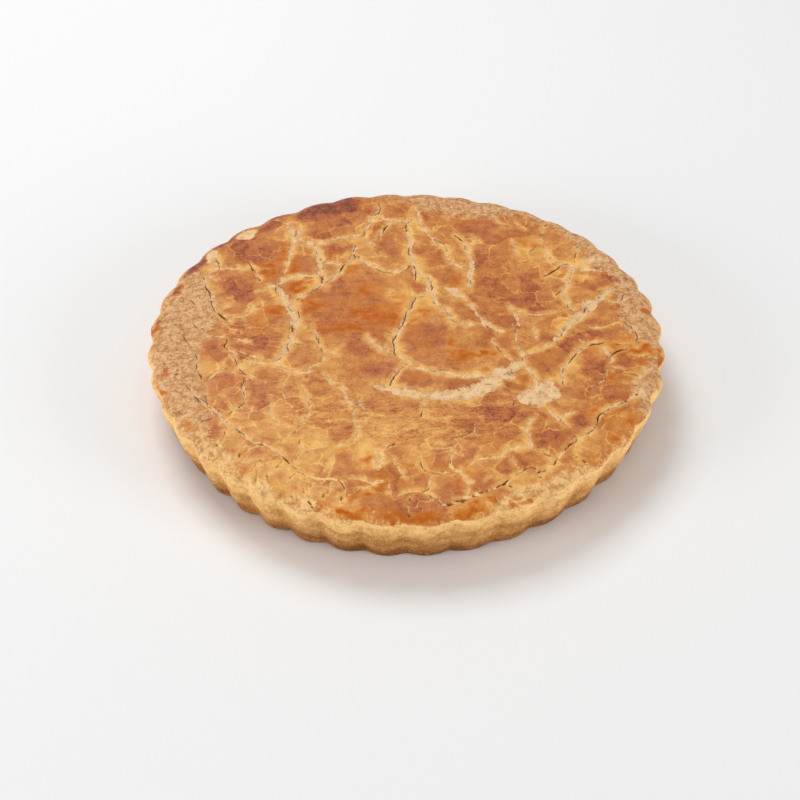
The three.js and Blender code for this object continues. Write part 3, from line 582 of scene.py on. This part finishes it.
def wall_section():
    """Rows down the wall from the shoulder to the foot: station, height and share of the flutes."""
    rows = []
    for bend in np.linspace(0, math.pi / 2, LIP_ROWS + 1):
        station = SHOULDER_RADIUS + (RIM_RADIUS - SHOULDER_RADIUS) * math.sin(bend)
        height = RIM_HEIGHT + (LID_HEIGHT - RIM_HEIGHT) * math.cos(bend)
        rows.append((station, height, math.sin(bend) ** FLUTE_FADE))
    for share in np.linspace(0, 1, WALL_ROWS + 1)[1:]:
        station = RIM_RADIUS + (FOOT_RADIUS - RIM_RADIUS) * share + WALL_BOW * math.sin(math.pi * share)
        rows.append((station, RIM_HEIGHT + (FOOT_ROUND - RIM_HEIGHT) * share, 1))
    for bend in np.linspace(0, math.pi / 2, FOOT_ROWS + 1)[1:]:
        rows.append((FOOT_RADIUS - FOOT_ROUND * (1 - math.cos(bend)), FOOT_ROUND * (1 - math.sin(bend)), 1))
    return np.array(rows)


def wall_points():
    """Points and normals of the lip and wall, as (rows, steps, 3), the shoulder's ring first."""
    station, height, fluted = wall_section().T[:, :, None]
    turn = np.arange(FLUTE_COUNT * STEPS_PER_FLUTE) / STEPS_PER_FLUTE
    angle = flute_angle(turn)
    radius = station - fluted * flute_dip(turn) + out_of_round(angle) * station / RIM_RADIUS
    x, y = radius * np.cos(angle), radius * np.sin(angle)
    z = height + lid_swell(x, y) * (height / LID_HEIGHT) ** SWELL_FADE
    slope_out = -np.gradient(height[:, 0])[:, None]
    slope_up = np.gradient(station[:, 0])[:, None]
    length = np.hypot(slope_out, slope_up)
    normal = np.stack([slope_out / length * np.cos(angle), slope_out / length * np.sin(angle),
                       slope_up / length * np.ones_like(angle)], axis=2)
    return np.stack([x, y, z], axis=2), normal


# Cracks


def smooth_path(path, step):
    """Evenly spaced points on a smooth curve through a few points, and how far along it each one is."""
    knots = np.array(path, float)
    knots = np.vstack([2 * knots[0] - knots[1], knots, 2 * knots[-1] - knots[-2]])
    pieces = []
    for a, b, c, d in zip(knots, knots[1:], knots[2:], knots[3:]):
        t = np.linspace(0, 1, STRETCH_STEPS, endpoint=False)[:, None]
        pieces.append(0.5 * (2 * b + (c - a) * t + (2 * a - 5 * b + 4 * c - d) * t ** 2
                             + (3 * b - a - 3 * c + d) * t ** 3))
    fine = np.vstack(pieces + [knots[-2:-1]])
    run = np.concatenate([[0], np.cumsum(np.hypot(*np.diff(fine, axis=0).T))])
    places = np.linspace(0, run[-1], max(3, round(run[-1] / step) + 1))
    line = np.stack([np.interp(places, run, fine[:, 0]), np.interp(places, run, fine[:, 1])], axis=1)
    return line, places


def along_noise(run, size, seed):
    """Smooth noise from -1 to 1 along a line."""
    return noise(np.stack([run, 0 * run, 0 * run], axis=1), size, seed)


def crack_line(widths, gap, path, seed):
    """One crack as a roughened line, with its half width, gap, lip and step at each point."""
    line, run = smooth_path(path, CRACK_SAMPLE)
    ahead = np.gradient(line, axis=0)
    ahead /= np.hypot(*ahead.T)[:, None]
    across = np.stack([-ahead[:, 1], ahead[:, 0]], axis=1)
    stray = CRACK_WANDER * (along_noise(run, 3.1, seed) + 0.6 * along_noise(run, 1.3, seed + 1))
    line = line + across * stray[:, None]
    # Its width tapers at both ends and varies along it
    taper = np.minimum(1, (np.minimum(run, run[-1] - run) + 1) / CRACK_TAPER)
    half = 0.5 * np.interp(run / run[-1], np.linspace(0, 1, len(widths)), widths)
    uneven = 1 + 0.7 * along_noise(run, 5, seed + 2) + 0.4 * along_noise(run, 1.7, seed + 8)
    uneven = np.clip(uneven, 0.3, 1.7)
    # Its gap shows in dashes, longer the darker it is, and the crack is never too narrow for them
    broken = along_noise(run, 7, seed + 3) + 0.25 * along_noise(run, 2, seed + 7)
    dashes = min(1, 0.3 + 0.6 * gap) * smoothstep(-0.15, 0.15, broken + gap - 0.66)
    least = (0.25 + 0.6 * dashes) * np.minimum(1, 0.3 + 0.7 * half)
    half = np.maximum(half * (0.4 + 0.6 * taper) * uneven, least)
    return {
        "line": line,
        "across": across,
        "half": half,
        "gap": dashes,
        "open": 0.28 + 0.27 * smoothstep(0.1, 0.8, broken + gap - 0.5),
        "offset": half * 0.6 * np.clip(2.5 * along_noise(run, 9, seed + 4), -1, 1),
        "lip": 0.5 + 0.5 * along_noise(run, 8, seed + 5),
        "step": STEP_RISE * along_noise(run, 16, seed + 6),
    }


def hairline(random, parent):
    """A short fine branch that leaves a crack somewhere along it."""
    start = random.integers(2, len(parent["line"]) - 2)
    side = random.choice([-1, 1])
    away = parent["across"][start] * side
    heading = math.atan2(away[1], away[0]) + random.uniform(-HAIRLINE_SLANT, HAIRLINE_SLANT)
    path = [parent["line"][start]]
    for _ in range(HAIRLINE_STRIDES):
        heading += random.uniform(-HAIRLINE_BEND, HAIRLINE_BEND)
        stride = random.uniform(*HAIRLINE_LENGTHS) / HAIRLINE_STRIDES
        path.append(path[-1] + stride * np.array([math.cos(heading), math.sin(heading)]))
    return (HAIRLINE_WIDTH,), random.uniform(0, HAIRLINE_GAP), path


def crack_lines():
    """Every crack of the lid, the fine branches last."""
    random = np.random.default_rng(CRACK_SEED)
    lines = []
    for index, (widths, gap, path) in enumerate(CRACKS):
        lines.append(crack_line(widths, gap, path, 10 * index))
    for parent in lines[:]:
        length = len(parent["line"]) * CRACK_SAMPLE
        for _ in range(random.poisson(length / HAIRLINE_SPACING)):
            lines.append(crack_line(*hairline(random, parent), 10 * len(lines)))
    return lines


def beside_crack(plan, chips, crack):
    """What one crack does to the points near it: which they are, and its fields there."""
    line = crack["line"]
    low, high = line.min(0) - CRACK_REACH, line.max(0) + CRACK_REACH
    near = np.flatnonzero(((plan > low) & (plan < high)).all(axis=1))
    # How far each point is from the line, and from the crack's chipped edge
    offset = plan[near, None, :] - line[None]
    nearest = np.argmin((offset ** 2).sum(2), axis=1)
    offset = offset[np.arange(len(near)), nearest]
    sideways = (offset * crack["across"][nearest]).sum(1)
    distance = np.hypot(*offset.T)
    half = crack["half"][nearest]
    beyond = distance - half + chips[near] * np.minimum(1, 0.3 + 0.5 * half)
    reach = CRACK_HALO[0] + CRACK_HALO[1] * half
    # The dark gap inside it, its darkness painted shade where the crack sinks
    opening = crack["open"][nearest]
    to_gap = np.abs(sideways - crack["offset"][nearest]) + np.maximum(0, distance - np.abs(sideways))
    gap = crack["gap"][nearest] * smoothstep(opening, 0.3 * opening, to_gap)
    gap = gap * np.minimum(1, 0.6 + 0.5 * half)
    # Its floor, the lips along it, and the plate that stands higher on one side of it
    floor = CRACK_DEPTH * np.minimum(1, 0.35 + 0.4 * half) * smoothstep(0.45, -0.5, beyond)
    lip = LIP_RISE * crack["lip"][nearest] * np.exp(-((beyond - 0.7) / 1.1) ** 2)
    step = crack["step"][nearest] * np.clip(sideways / (half + 0.3), -1, 1)
    fade = np.exp(-np.maximum(beyond, 0) / 4) * smoothstep(CRACK_REACH, 0.5 * CRACK_REACH, distance)
    return near, {
        "halo": smoothstep(reach, 0, beyond) * np.minimum(1, 0.6 + 0.4 * half),
        "band": smoothstep(0.25, -0.25, beyond) * np.minimum(1, 0.4 + 0.6 * half),
        "gap": gap,
        "dip": floor + GAP_DEPTH * gap,
        "lip": lip * np.minimum(1, half),
        "step": step * fade * np.minimum(1, half),
    }


def crack_fields(points, lines):
    """What the cracks do at points (n, 3): straw rim, pale band, dark gap, step between plates and rise."""
    chips = CRACK_RAGGED * (noise(points, 2.2, 903) + 0.6 * noise(points, 1.1, 904))
    total = {name: np.zeros(len(points)) for name in ("halo", "band", "gap", "dip", "lip", "step")}
    for crack in lines:
        near, fields = beside_crack(points[:, :2], chips, crack)
        for name, values in fields.items():
            merge = np.add if name == "step" else np.maximum
            total[name][near] = merge(total[name][near], values)
    return SimpleNamespace(
        halo=total["halo"] * smoothstep(-0.7, 0.3, noise(points, 9, 924)),
        band=total["band"],
        gap=total["gap"],
        step=total["step"],
        rise=(total["lip"] + total["step"]) * (1 - total["band"]) - total["dip"],
    )


# The crust's mesh


def lid_inner_points(lines):
    """Points inside the lid (n, 2): fine along the cracks and evenly spread between them."""
    fine = []
    every = max(1, round(CRACK_STEP / CRACK_SAMPLE))
    for crack in lines:
        line, across, half = crack["line"][::every], crack["across"][::every], crack["half"][::every]
        gap = crack["offset"][::every]
        sides = [gap, gap + BESIDE_GAP, gap - BESIDE_GAP, half + BESIDE_BAND, -half - BESIDE_BAND]
        if half.max() > WIDE_CRACK:
            sides += [half - BESIDE_BAND, BESIDE_BAND - half]
        fine += [line + across * side[:, None] for side in sides]
    rows = np.arange(-SHOULDER_RADIUS, SHOULDER_RADIUS, LID_STEP * math.sqrt(3) / 2)
    columns = np.arange(-SHOULDER_RADIUS, SHOULDER_RADIUS, LID_STEP)
    x = columns[None] + 0.5 * LID_STEP * (np.arange(len(rows)) % 2)[:, None]
    plain = np.stack([x, rows[:, None] + 0 * x], axis=2).reshape(-1, 2)
    fine = inside_lid(np.vstack(fine), RING_CLEAR["crack"])
    return thin_out(fine, inside_lid(plain, RING_CLEAR["plain"]))


def inside_lid(points, margin):
    """The points that lie inside the shoulder's ring by a margin."""
    angle = np.arctan2(points[:, 1], points[:, 0])
    limit = SHOULDER_RADIUS * (1 + out_of_round(angle) / RIM_RADIUS) - margin
    return points[np.hypot(*points.T) < limit]


def thin_out(fine, plain):
    """The fine points, one to a cell of the raster, and the plain points that are clear of them."""
    side = int(2 * RIM_RADIUS / RASTER) + 1
    cells = ((fine + RIM_RADIUS) / RASTER).astype(int)
    _, first = np.unique(cells[:, 0] * side + cells[:, 1], return_index=True)
    fine = fine[np.sort(first)]
    taken = np.zeros((side, side), bool)
    taken[cells[:, 0], cells[:, 1]] = True
    grown = taken.copy()
    for dx in range(-CRACK_CLEAR, CRACK_CLEAR + 1):
        for dy in range(-CRACK_CLEAR, CRACK_CLEAR + 1):
            grown |= np.roll(taken, (dx, dy), axis=(0, 1))
    cells = ((plain + RIM_RADIUS) / RASTER).astype(int)
    return np.vstack([fine, plain[~grown[cells[:, 0], cells[:, 1]]]])


def lid_triangles(points):
    """Triangles over the lid's points (n, 2), counterclockwise."""
    _, _, faces, origins, _, _ = delaunay_2d_cdt([Vector(p) for p in points], [], [], 0, SAME_POINT)
    source = [origin[0] for origin in origins]
    return np.array([[source[v] for v in face] for face in faces])


def wall_triangles(steps, rows, first_lower):
    """Triangles between the wall's rows: the shoulder's ring, then the others from point first_lower on."""
    column = np.arange(steps)
    after = np.roll(column, -1)
    triangles = []
    for row in range(rows - 1):
        upper = 0 if row == 0 else first_lower + (row - 1) * steps
        lower = first_lower + row * steps
        triangles.append(np.stack([upper + column, lower + column, lower + after], axis=1))
        triangles.append(np.stack([upper + column, lower + after, upper + after], axis=1))
    return np.vstack(triangles)


def crust_shape(lines):
    """Points, normals and triangles of the smooth crust, closed by a flat base."""
    wall, wall_normal = wall_points()
    rows, steps, _ = wall.shape
    inner = lid_inner_points(lines)
    level = LID_HEIGHT + lid_swell(inner[:, 0], inner[:, 1])
    lid = np.column_stack([inner, level])
    centre = np.zeros((1, 3))
    points = np.vstack([wall[0], lid, wall[1:].reshape(-1, 3), centre])
    up = np.tile([0.0, 0.0, 1.0], (len(lid), 1))
    normals = np.vstack([wall_normal[0], up, wall_normal[1:].reshape(-1, 3), -up[:1]])
    first_lower = steps + len(lid)
    foot = first_lower + (rows - 2) * steps + np.arange(steps)
    base = np.stack([np.full(steps, len(points) - 1), np.roll(foot, -1), foot], axis=1)
    triangles = [lid_triangles(points[:first_lower, :2]), wall_triangles(steps, rows, first_lower), base]
    return points, normals, np.vstack(triangles)


def uneven_plan(points, far, near):
    """The points in plan, moved about by noise so that what is drawn there gets uneven outlines."""
    slow = np.stack([noise(points, 8, 901), noise(points, 8, 902)], axis=1)
    quick = np.stack([noise(points, 2.2, 903), noise(points, 2.2, 904)], axis=1)
    return points[:, :2] + far * slow + near * quick


def outside_glaze(points):
    """How far the crumbly border near the rim takes over from the glaze, from 0 to 1."""
    angle = np.arctan2(points[:, 1], points[:, 0])
    radius = np.hypot(points[:, 0], points[:, 1]) - out_of_round(angle)
    end = np.interp(np.degrees(angle) % 360, *zip(*GLAZE_EDGE))
    wander, chips = GLAZE_EDGE_RAGGED
    ragged = wander * noise(points, 8, 905) + chips * noise(points, 2.3, 906)
    return smoothstep(*GLAZE_FADE, radius - end + ragged)


def browning(points, place, crack):
    """How brown the glaze is: 0 is straw, as along the cracks, and 1 is dark russet."""
    mottle = 0.12 * noise(points, 13, 910) + 0.12 * noise(points, (7, 4.5, 7), 911)
    tone = (PLATE_TONE + spots(place, RUSSET) + mottle) * (1 - HALO_PALENESS * crack.halo)
    return np.clip(tone + STEP_TONE * crack.step, 0, BROWNEST_PLATE)


def toasting_and_shade(points):
    """How far the wall is toasted: more towards its foot, and in patches, plus painted shade on the front
    of the wall below the lip.
    """
    height = points[:, 2]
    foot = sum(share * smoothstep(start, end, height) for share, start, end in FOOT_TOAST)
    darker = spots(points, FRONT_WALL_SHADE) * smoothstep(27, 18, height)
    return foot + darker + 0.2 * noise(points, (9, 9, 5), 921)


def crust_parts(points, normals, crack):
    """How far each part of the crust shows at every point, and the plan that the parts are drawn in."""
    top = smoothstep(0.15, 0.6, normals[:, 2])
    place = uneven_plan(points, 2.4, 1.4)
    border = outside_glaze(points)
    bare = smoothstep(0.25, 0.65, spots(uneven_plan(points, 2, 0.6), BARE) + 0.1 * noise(points, 2.6, 907))
    pools = smoothstep(0, 0.8, spots(place, POOLS) + 0.22 * noise(points, (8, 2.2, 8), 922))
    rim = smoothstep(0.1, 0.9, spots(place, RIM_GLAZE) + 0.12 * noise(points, 2.6, 923)) * (1 - bare)
    glaze = top * np.maximum((1 - border) * (1 - bare), pools) * (1 - crack.band)
    glaze = np.maximum(glaze, rim * smoothstep(-0.1, 0.3, normals[:, 2]))
    wrinkled = top * np.clip(spots(place, WRINKLED), 0, 1)
    flaky = np.clip(spots(place, FLAKY), 0, 1)
    return SimpleNamespace(
        place=place,
        top=top,
        wall=smoothstep(0.9, 0.35, normals[:, 2]),
        border=smoothstep(0, 0.3, border) * (1 - bare) * (1 - crack.band),
        pools=pools,
        rim=rim,
        glaze=glaze,
        crumb=np.maximum(1 - glaze, flaky),
        flaky=flaky,
        pits=smoothstep(0.5, 0.75, noise(points, 1.9, 917) + 0.35 * flaky),
        wrinkled=wrinkled,
        wrinkles=wrinkled * (noise(points, (13, 2.4, 9), 908) + 0.6 * noise(points, (8, 1.5, 9), 909)),
    )


def crust_relief(points, crack, part):
    """How far the crust stands out of its smooth form along the normal, at every point."""
    layers = np.round(2.6 * (noise(points, (5, 3.2, 5), 913) + 0.5 * noise(points, 1.8, 914)))
    grain = 0.12 * noise(points, 2.6, 915) + 0.10 * noise(points, 1.5, 916)
    lumps = 0.5 * noise(points, (11, 11, 9), 918) + 0.22 * noise(points, (4, 4, 2.4), 919)
    relief = part.top * crack.rise + part.crumb * (grain - PIT_DEPTH * part.pits)
    relief += FLAKE_HEIGHT * part.flaky * part.top * layers + (1 - part.top) * lumps
    relief += WRINKLE_HEIGHT * part.wrinkles + LID_UNEVENNESS * part.top * noise(points, 4.5, 920)
    return relief * smoothstep(0, BASE_FADE, points[:, 2])


def crust_masks(points, crack, part):
    """What the crust's material reads at every point, by name."""
    brown = browning(points, part.place, crack) - 0.15 * part.wrinkles
    crazed = 0.15 + 0.85 * smoothstep(*CRAZED_FROM, np.hypot(*part.place.T))
    return {
        "glaze": part.glaze,
        "russet": brown + part.rim * (RIM_TONE - brown),
        "pool": part.pools * (1 - 0.8 * crack.halo),
        "border": part.border,
        "gap": crack.gap * part.top,
        "toast_and_shade": toasting_and_shade(points),
        "wall": np.maximum(part.wall, GOLDEN_SHARE * smoothstep(*GOLDEN_FROM, points[:, 1])),
        # Painted shade in the crumb's pits, less on the wall
        "pits": part.pits * part.crumb * (1 - 0.3 * part.wall),
        "wrinkled": part.wrinkled,
        "crazed": crazed * (1 - part.rim),
    }


def crust_object(material):
    """The whole crust as one closed mesh, sitting where the solid sits."""
    lines = crack_lines()
    points, normals, triangles = crust_shape(lines)
    crack = crack_fields(points, lines)
    part = crust_parts(points, normals, crack)
    masks = crust_masks(points, crack, part)
    points = points + normals * crust_relief(points, crack, part)[:, None]
    low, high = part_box("pie")
    points[:, :2] -= (points.min(0) + points.max(0))[:2] / 2
    points = points * MM + np.array([(low.x + high.x) / 2, (low.y + high.y) / 2, low.z])
    mesh = bpy.data.meshes.new("pie_crust")
    mesh.from_pydata(points, [], triangles)
    mesh.shade_smooth()
    for name, values in masks.items():
        attribute = mesh.attributes.new(name, "FLOAT", "POINT")
        attribute.data.foreach_set("value", values.astype(np.float32))
    mesh.materials.append(material)
    crust = bpy.data.objects.new("pie_crust", mesh)
    bpy.context.scene.collection.objects.link(crust)
    return crust


# Materials


def linear(colour):
    """A colour given as sRGB values from 0 to 255, as linear RGBA."""
    shares = [value / 255 for value in colour]
    return [s / 12.92 if s <= 0.04045 else ((s + 0.055) / 1.055) ** 2.4 for s in shares] + [1]


class Nodes:
    """A material's node tree, with a method for each kind of node used here."""

    def __init__(self, name):
        self.material = bpy.data.materials.new(name)
        self.material.use_nodes = True
        self.tree = self.material.node_tree
        self.shader = self.tree.nodes["Principled BSDF"]

    def put(self, socket, value):
        """Links an output to a socket, or sets the socket to a plain value."""
        if isinstance(value, bpy.types.NodeSocket):
            self.tree.links.new(value, socket)
        else:
            socket.default_value = value

    def attribute(self, name):
        """One of the mesh's masks."""
        node = self.tree.nodes.new("ShaderNodeAttribute")
        node.attribute_name = name
        return node.outputs["Fac"]

    def noise(self, grain, detail=3.0, stretch=(1, 1, 1)):
        """Noise from 0 to 1 with a grain in mm, drawn out along an axis by stretch."""
        place = self.tree.nodes.new("ShaderNodeTexCoord")
        mapping = self.tree.nodes.new("ShaderNodeMapping")
        mapping.inputs["Scale"].default_value = [1 / (grain * MM * s) for s in stretch]
        texture = self.tree.nodes.new("ShaderNodeTexNoise")
        texture.inputs["Scale"].default_value = 1
        texture.inputs["Detail"].default_value = detail
        self.put(mapping.inputs["Vector"], place.outputs["Object"])
        self.put(texture.inputs["Vector"], mapping.outputs["Vector"])
        return texture.outputs["Fac"]

    def plates(self, cell, line):
        """Uneven plates and the lines between them, sized in mm: 1 on a line, and a tone for each plate."""
        place = self.tree.nodes.new("ShaderNodeTexCoord")
        wander = self.tree.nodes.new("ShaderNodeTexNoise")
        wander.inputs["Scale"].default_value = 2 / (cell * MM)
        moved = self.tree.nodes.new("ShaderNodeVectorMath")
        moved.operation = "MULTIPLY_ADD"
        moved.inputs[1].default_value = [0.45 * cell * MM] * 3
        net = self.tree.nodes.new("ShaderNodeTexVoronoi")
        net.feature = "DISTANCE_TO_EDGE"
        tones = self.tree.nodes.new("ShaderNodeTexVoronoi")
        self.put(wander.inputs["Vector"], place.outputs["Object"])
        self.put(moved.inputs[0], wander.outputs["Color"])
        self.put(moved.inputs[2], place.outputs["Object"])
        for texture in (net, tones):
            texture.inputs["Scale"].default_value = 1 / (cell * MM)
            self.put(texture.inputs["Vector"], moved.outputs["Vector"])
        return self.span(net.outputs["Distance"], line / cell, 0), tones.outputs["Color"]

    def math(self, operation, first, second):
        """Two values put together by one operation."""
        node = self.tree.nodes.new("ShaderNodeMath")
        node.operation = operation
        self.put(node.inputs[0], first)
        self.put(node.inputs[1], second)
        return node.outputs["Value"]

    def span(self, value, low, high, start=0.0, end=1.0):
        """Maps low..high to start..end, held at both ends."""
        node = self.tree.nodes.new("ShaderNodeMapRange")
        node.interpolation_type = "SMOOTHSTEP"
        for name, number in (("From Min", low), ("From Max", high), ("To Min", start), ("To Max", end)):
            node.inputs[name].default_value = number
        self.put(node.inputs["Value"], value)
        return node.outputs["Result"]

    def mix(self, share, first, second):
        """A colour between two colours."""
        node = self.tree.nodes.new("ShaderNodeMix")
        node.data_type = "RGBA"
        self.put(node.inputs["Factor"], share)
        self.put(node.inputs["A"], first)
        self.put(node.inputs["B"], second)
        return node.outputs["Result"]

    def ramp(self, value, stops):
        """A colour along a ramp of (place, sRGB colour) stops."""
        node = self.tree.nodes.new("ShaderNodeValToRGB")
        elements = node.color_ramp.elements
        while len(elements) < len(stops):
            elements.new(0.5)
        for element, (place, colour) in zip(elements, stops):
            element.position = place
            element.color = linear(colour)
        self.put(node.inputs["Fac"], value)
        return node.outputs["Color"]

    def veins(self, value, width):
        """Thin lines, 1 where a noise passes its middle and 0 at a width from it."""
        return self.math("MULTIPLY", self.span(value, 0.5 - width, 0.5), self.span(value, 0.5 + width, 0.5))

    def bump(self, height, depth):
        """A normal bumped by a height from 0 to 1 that stands for a depth in mm."""
        node = self.tree.nodes.new("ShaderNodeBump")
        node.inputs["Distance"].default_value = depth * MM
        self.put(node.inputs["Height"], height)
        return node.outputs["Normal"]


def glaze_colour(nodes, grain, blotch, creases, crazed, plate_tone):
    """Egg wash from straw to russet, its darker browns tinted rose-lilac as painted reflection, crazed with
    fine straw lines, with thicker orange pools.
    """
    russet = nodes.math("ADD", nodes.attribute("russet"), nodes.span(blotch, 0.2, 0.8, -0.12, 0.12))
    russet = nodes.math("ADD", russet, plate_tone)
    russet = nodes.math("ADD", russet, nodes.span(grain, 0.2, 0.8, -0.11, 0.11))
    crease_depth = nodes.span(nodes.attribute("wrinkled"), 0, 1, 0.04, 0.32)
    crease_tone = nodes.math("MULTIPLY", nodes.veins(creases, 0.05), crease_depth)
    russet = nodes.math("ADD", russet, crease_tone)
    russet = nodes.math("ADD", russet, nodes.span(nodes.noise(0.9, 1), 0.66, 0.76, 0, 0.26))
    russet = nodes.math("SUBTRACT", russet, nodes.math("MULTIPLY", crazed, 0.4))
    pool = nodes.math("MULTIPLY", nodes.attribute("pool"), nodes.span(blotch, 0.3, 0.7, 0.6, 1.1))
    return nodes.mix(pool, nodes.ramp(russet, GLAZE_AND_SHEEN_COLOURS), nodes.ramp(pool, POOL_COLOURS))


def crumb_colour(nodes, grain, blotch):
    """Bare crumb: cream in the cracks, tan in the border and golden on the wall, toasted at its foot;
    painted shade darkens its pits and the front of the wall, and a painted highlight brightens the lip.
    """
    flecks = nodes.noise(0.7, 2)
    # Toasting of the wall, with painted shade on its front, and the untoasted lip left palest as a painted
    # highlight
    toast_and_shade = nodes.math("ADD", nodes.attribute("toast_and_shade"), nodes.span(grain, 0.2, 0.8, -0.16, 0.16))
    toast_and_shade = nodes.math("ADD", toast_and_shade, nodes.span(blotch, 0.2, 0.8, -0.08, 0.08))
    crumbs = nodes.math("ADD", nodes.noise(1.5, 5), nodes.span(blotch, 0.2, 0.8, -0.1, 0.1))
    border = nodes.ramp(crumbs, BORDER_COLOURS)
    lid = nodes.mix(nodes.attribute("border"), nodes.ramp(blotch, CREAM_COLOURS), border)
    bare = nodes.mix(nodes.attribute("wall"), lid, nodes.ramp(toast_and_shade, WALL_COLOURS))
    speckle = nodes.span(nodes.attribute("wall"), 0, 1, 1.3, 0.9)
    flour = nodes.math("MULTIPLY", nodes.span(flecks, 0.58, 0.72, 0, 0.45), speckle)
    bare = nodes.mix(flour, bare, linear(FLOUR_COLOUR))
    # Painted shade in the pits, with dark specks and the border's fine crack lines
    shade_and_specks = nodes.math("MAXIMUM", nodes.attribute("pits"), nodes.span(flecks, 0.4, 0.27))
    lines, _ = nodes.plates(4.5, 0.35)
    crazed = nodes.math("MULTIPLY", lines, nodes.span(blotch, 0.4, 0.55))
    shade_and_specks = nodes.math("MAXIMUM", shade_and_specks, nodes.math("MULTIPLY", crazed, nodes.attribute("border")))
    shade_and_specks = nodes.math("MULTIPLY", nodes.math("MULTIPLY", shade_and_specks, 0.5), speckle)
    return nodes.mix(shade_and_specks, bare, linear(PIT_SHADE_AND_SPECK_COLOUR))


def small_plates(nodes):
    """The lid's small plates away from its middle: the lines between them, and a tone for each."""
    crazed = nodes.attribute("crazed")
    lines, tone = nodes.plates(10, 0.5)
    lines = nodes.math("MULTIPLY", lines, nodes.span(nodes.noise(11, 2), 0.45, 0.6))
    tone = nodes.span(tone, 0.25, 0.75, -0.1, 0.1)
    return nodes.math("MULTIPLY", lines, crazed), nodes.math("MULTIPLY", tone, crazed)


def crust_material():
    """Egg-washed shortcrust: satin glaze from straw to russet, and bare matte crumb."""
    nodes = Nodes("baked_crust")
    grain = nodes.noise(1.0, 4)
    blotch = nodes.noise(3.6, 2)
    creases = nodes.noise(1.9, 3, (2.6, 1, 1))
    ragged = nodes.math("ADD", nodes.attribute("glaze"), nodes.span(grain, 0.25, 0.75, -0.2, 0.2))
    ragged = nodes.math("ADD", ragged, nodes.span(blotch, 0.25, 0.75, -0.15, 0.15))
    glaze = nodes.span(ragged, 0.22, 0.78)
    gap = nodes.attribute("gap")
    crumb = crumb_colour(nodes, grain, blotch)
    colour = nodes.mix(glaze, crumb, glaze_colour(nodes, grain, blotch, creases, *small_plates(nodes)))
    # Painted shade where each crack sinks: brown beside its gap and dark in the gap itself
    colour = nodes.mix(nodes.span(gap, 0, 0.5), colour, linear(PIT_SHADE_AND_SPECK_COLOUR))
    colour = nodes.mix(nodes.span(gap, 0.4, 1), colour, linear(GAP_SHADE_COLOUR))
    roughness = nodes.span(glaze, 0, 1, CRUMB_ROUGHNESS, GLAZE_ROUGHNESS)
    roughness = nodes.math("ADD", roughness, nodes.span(blotch, 0.3, 0.7, -0.08, 0.08))
    grit = nodes.math("MULTIPLY", nodes.noise(0.9, 5), nodes.span(glaze, 0, 1, 0.55, 0.12))
    grit = nodes.math("MULTIPLY", grit, nodes.span(nodes.attribute("wall"), 0, 1, 1, 0.8))
    folds = nodes.math("MULTIPLY", creases, nodes.math("MULTIPLY", nodes.attribute("wrinkled"), 0.5))
    nodes.put(nodes.shader.inputs["Base Color"], colour)
    nodes.put(nodes.shader.inputs["Roughness"], roughness)
    nodes.put(nodes.shader.inputs["Specular IOR Level"], nodes.span(gap, 0, 0.5, SHEEN, 0))
    nodes.put(nodes.shader.inputs["Normal"], nodes.bump(nodes.math("ADD", grit, folds), BUMP_DEPTH))
    return nodes.material


def floor_material():
    """Plain pale paper."""
    nodes = Nodes("pale_floor")
    nodes.shader.inputs["Base Color"].default_value = linear(FLOOR_COLOUR)
    nodes.shader.inputs["Roughness"].default_value = FLOOR_ROUGHNESS
    return nodes.material


# Stage, light and camera


def add_floor(material):
    """A wide pale floor under the pie."""
    corners = [(x * FLOOR_HALF, y * FLOOR_HALF, 0) for x, y in ((-1, -1), (1, -1), (1, 1), (-1, 1))]
    mesh = bpy.data.meshes.new("floor")
    mesh.from_pydata(corners, [], [(0, 1, 2, 3)])
    mesh.materials.append(material)
    floor = bpy.data.objects.new("floor", mesh)
    bpy.context.scene.collection.objects.link(floor)
    floor.location.z = cad_box[0].z


def add_softbox(name, place, size, power):
    """A square area light that faces the pie."""
    light = bpy.data.lights.new(name, "AREA")
    light.size = size
    light.energy = power
    softbox = bpy.data.objects.new(name, light)
    softbox.location = place
    softbox.rotation_euler = (-Vector(place)).to_track_quat("-Z", "Y").to_euler()
    bpy.context.scene.collection.objects.link(softbox)


def add_light():
    """Soft studio light: a bright surround, a wide light above and a low fill from each side."""
    world = bpy.data.worlds.new("studio")
    world.use_nodes = True
    background = world.node_tree.nodes["Background"]
    background.inputs["Color"].default_value = (1, 1, 1, 1)
    background.inputs["Strength"].default_value = SURROUND
    bpy.context.scene.world = world
    for name, (place, size, power) in SOFTBOXES.items():
        add_softbox(name, place, size, power)
    bpy.context.scene.view_settings.view_transform = "Standard"


def add_camera():
    """The photo's view, with the origin at its pixel."""
    data = bpy.data.cameras.new("camera")
    data.sensor_width = SENSOR
    data.lens = LENS
    data.shift_x = (IMAGE_SIDE / 2 - ORIGIN_PIXEL[0]) / IMAGE_SIDE
    data.shift_y = (ORIGIN_PIXEL[1] - IMAGE_SIDE / 2) / IMAGE_SIDE
    camera = bpy.data.objects.new("camera", data)
    level, rise = math.cos(CAMERA_ELEVATION), math.sin(CAMERA_ELEVATION)
    camera.location = (0, -CAMERA_DISTANCE * level, CAMERA_DISTANCE * rise)
    camera.rotation_euler = (math.pi / 2 - CAMERA_ELEVATION, 0, 0)
    bpy.context.scene.collection.objects.link(camera)
    bpy.context.scene.camera = camera


crust = crust_object(crust_material())
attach(crust, "root")
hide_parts("pie")
add_floor(floor_material())
add_light()
add_camera()
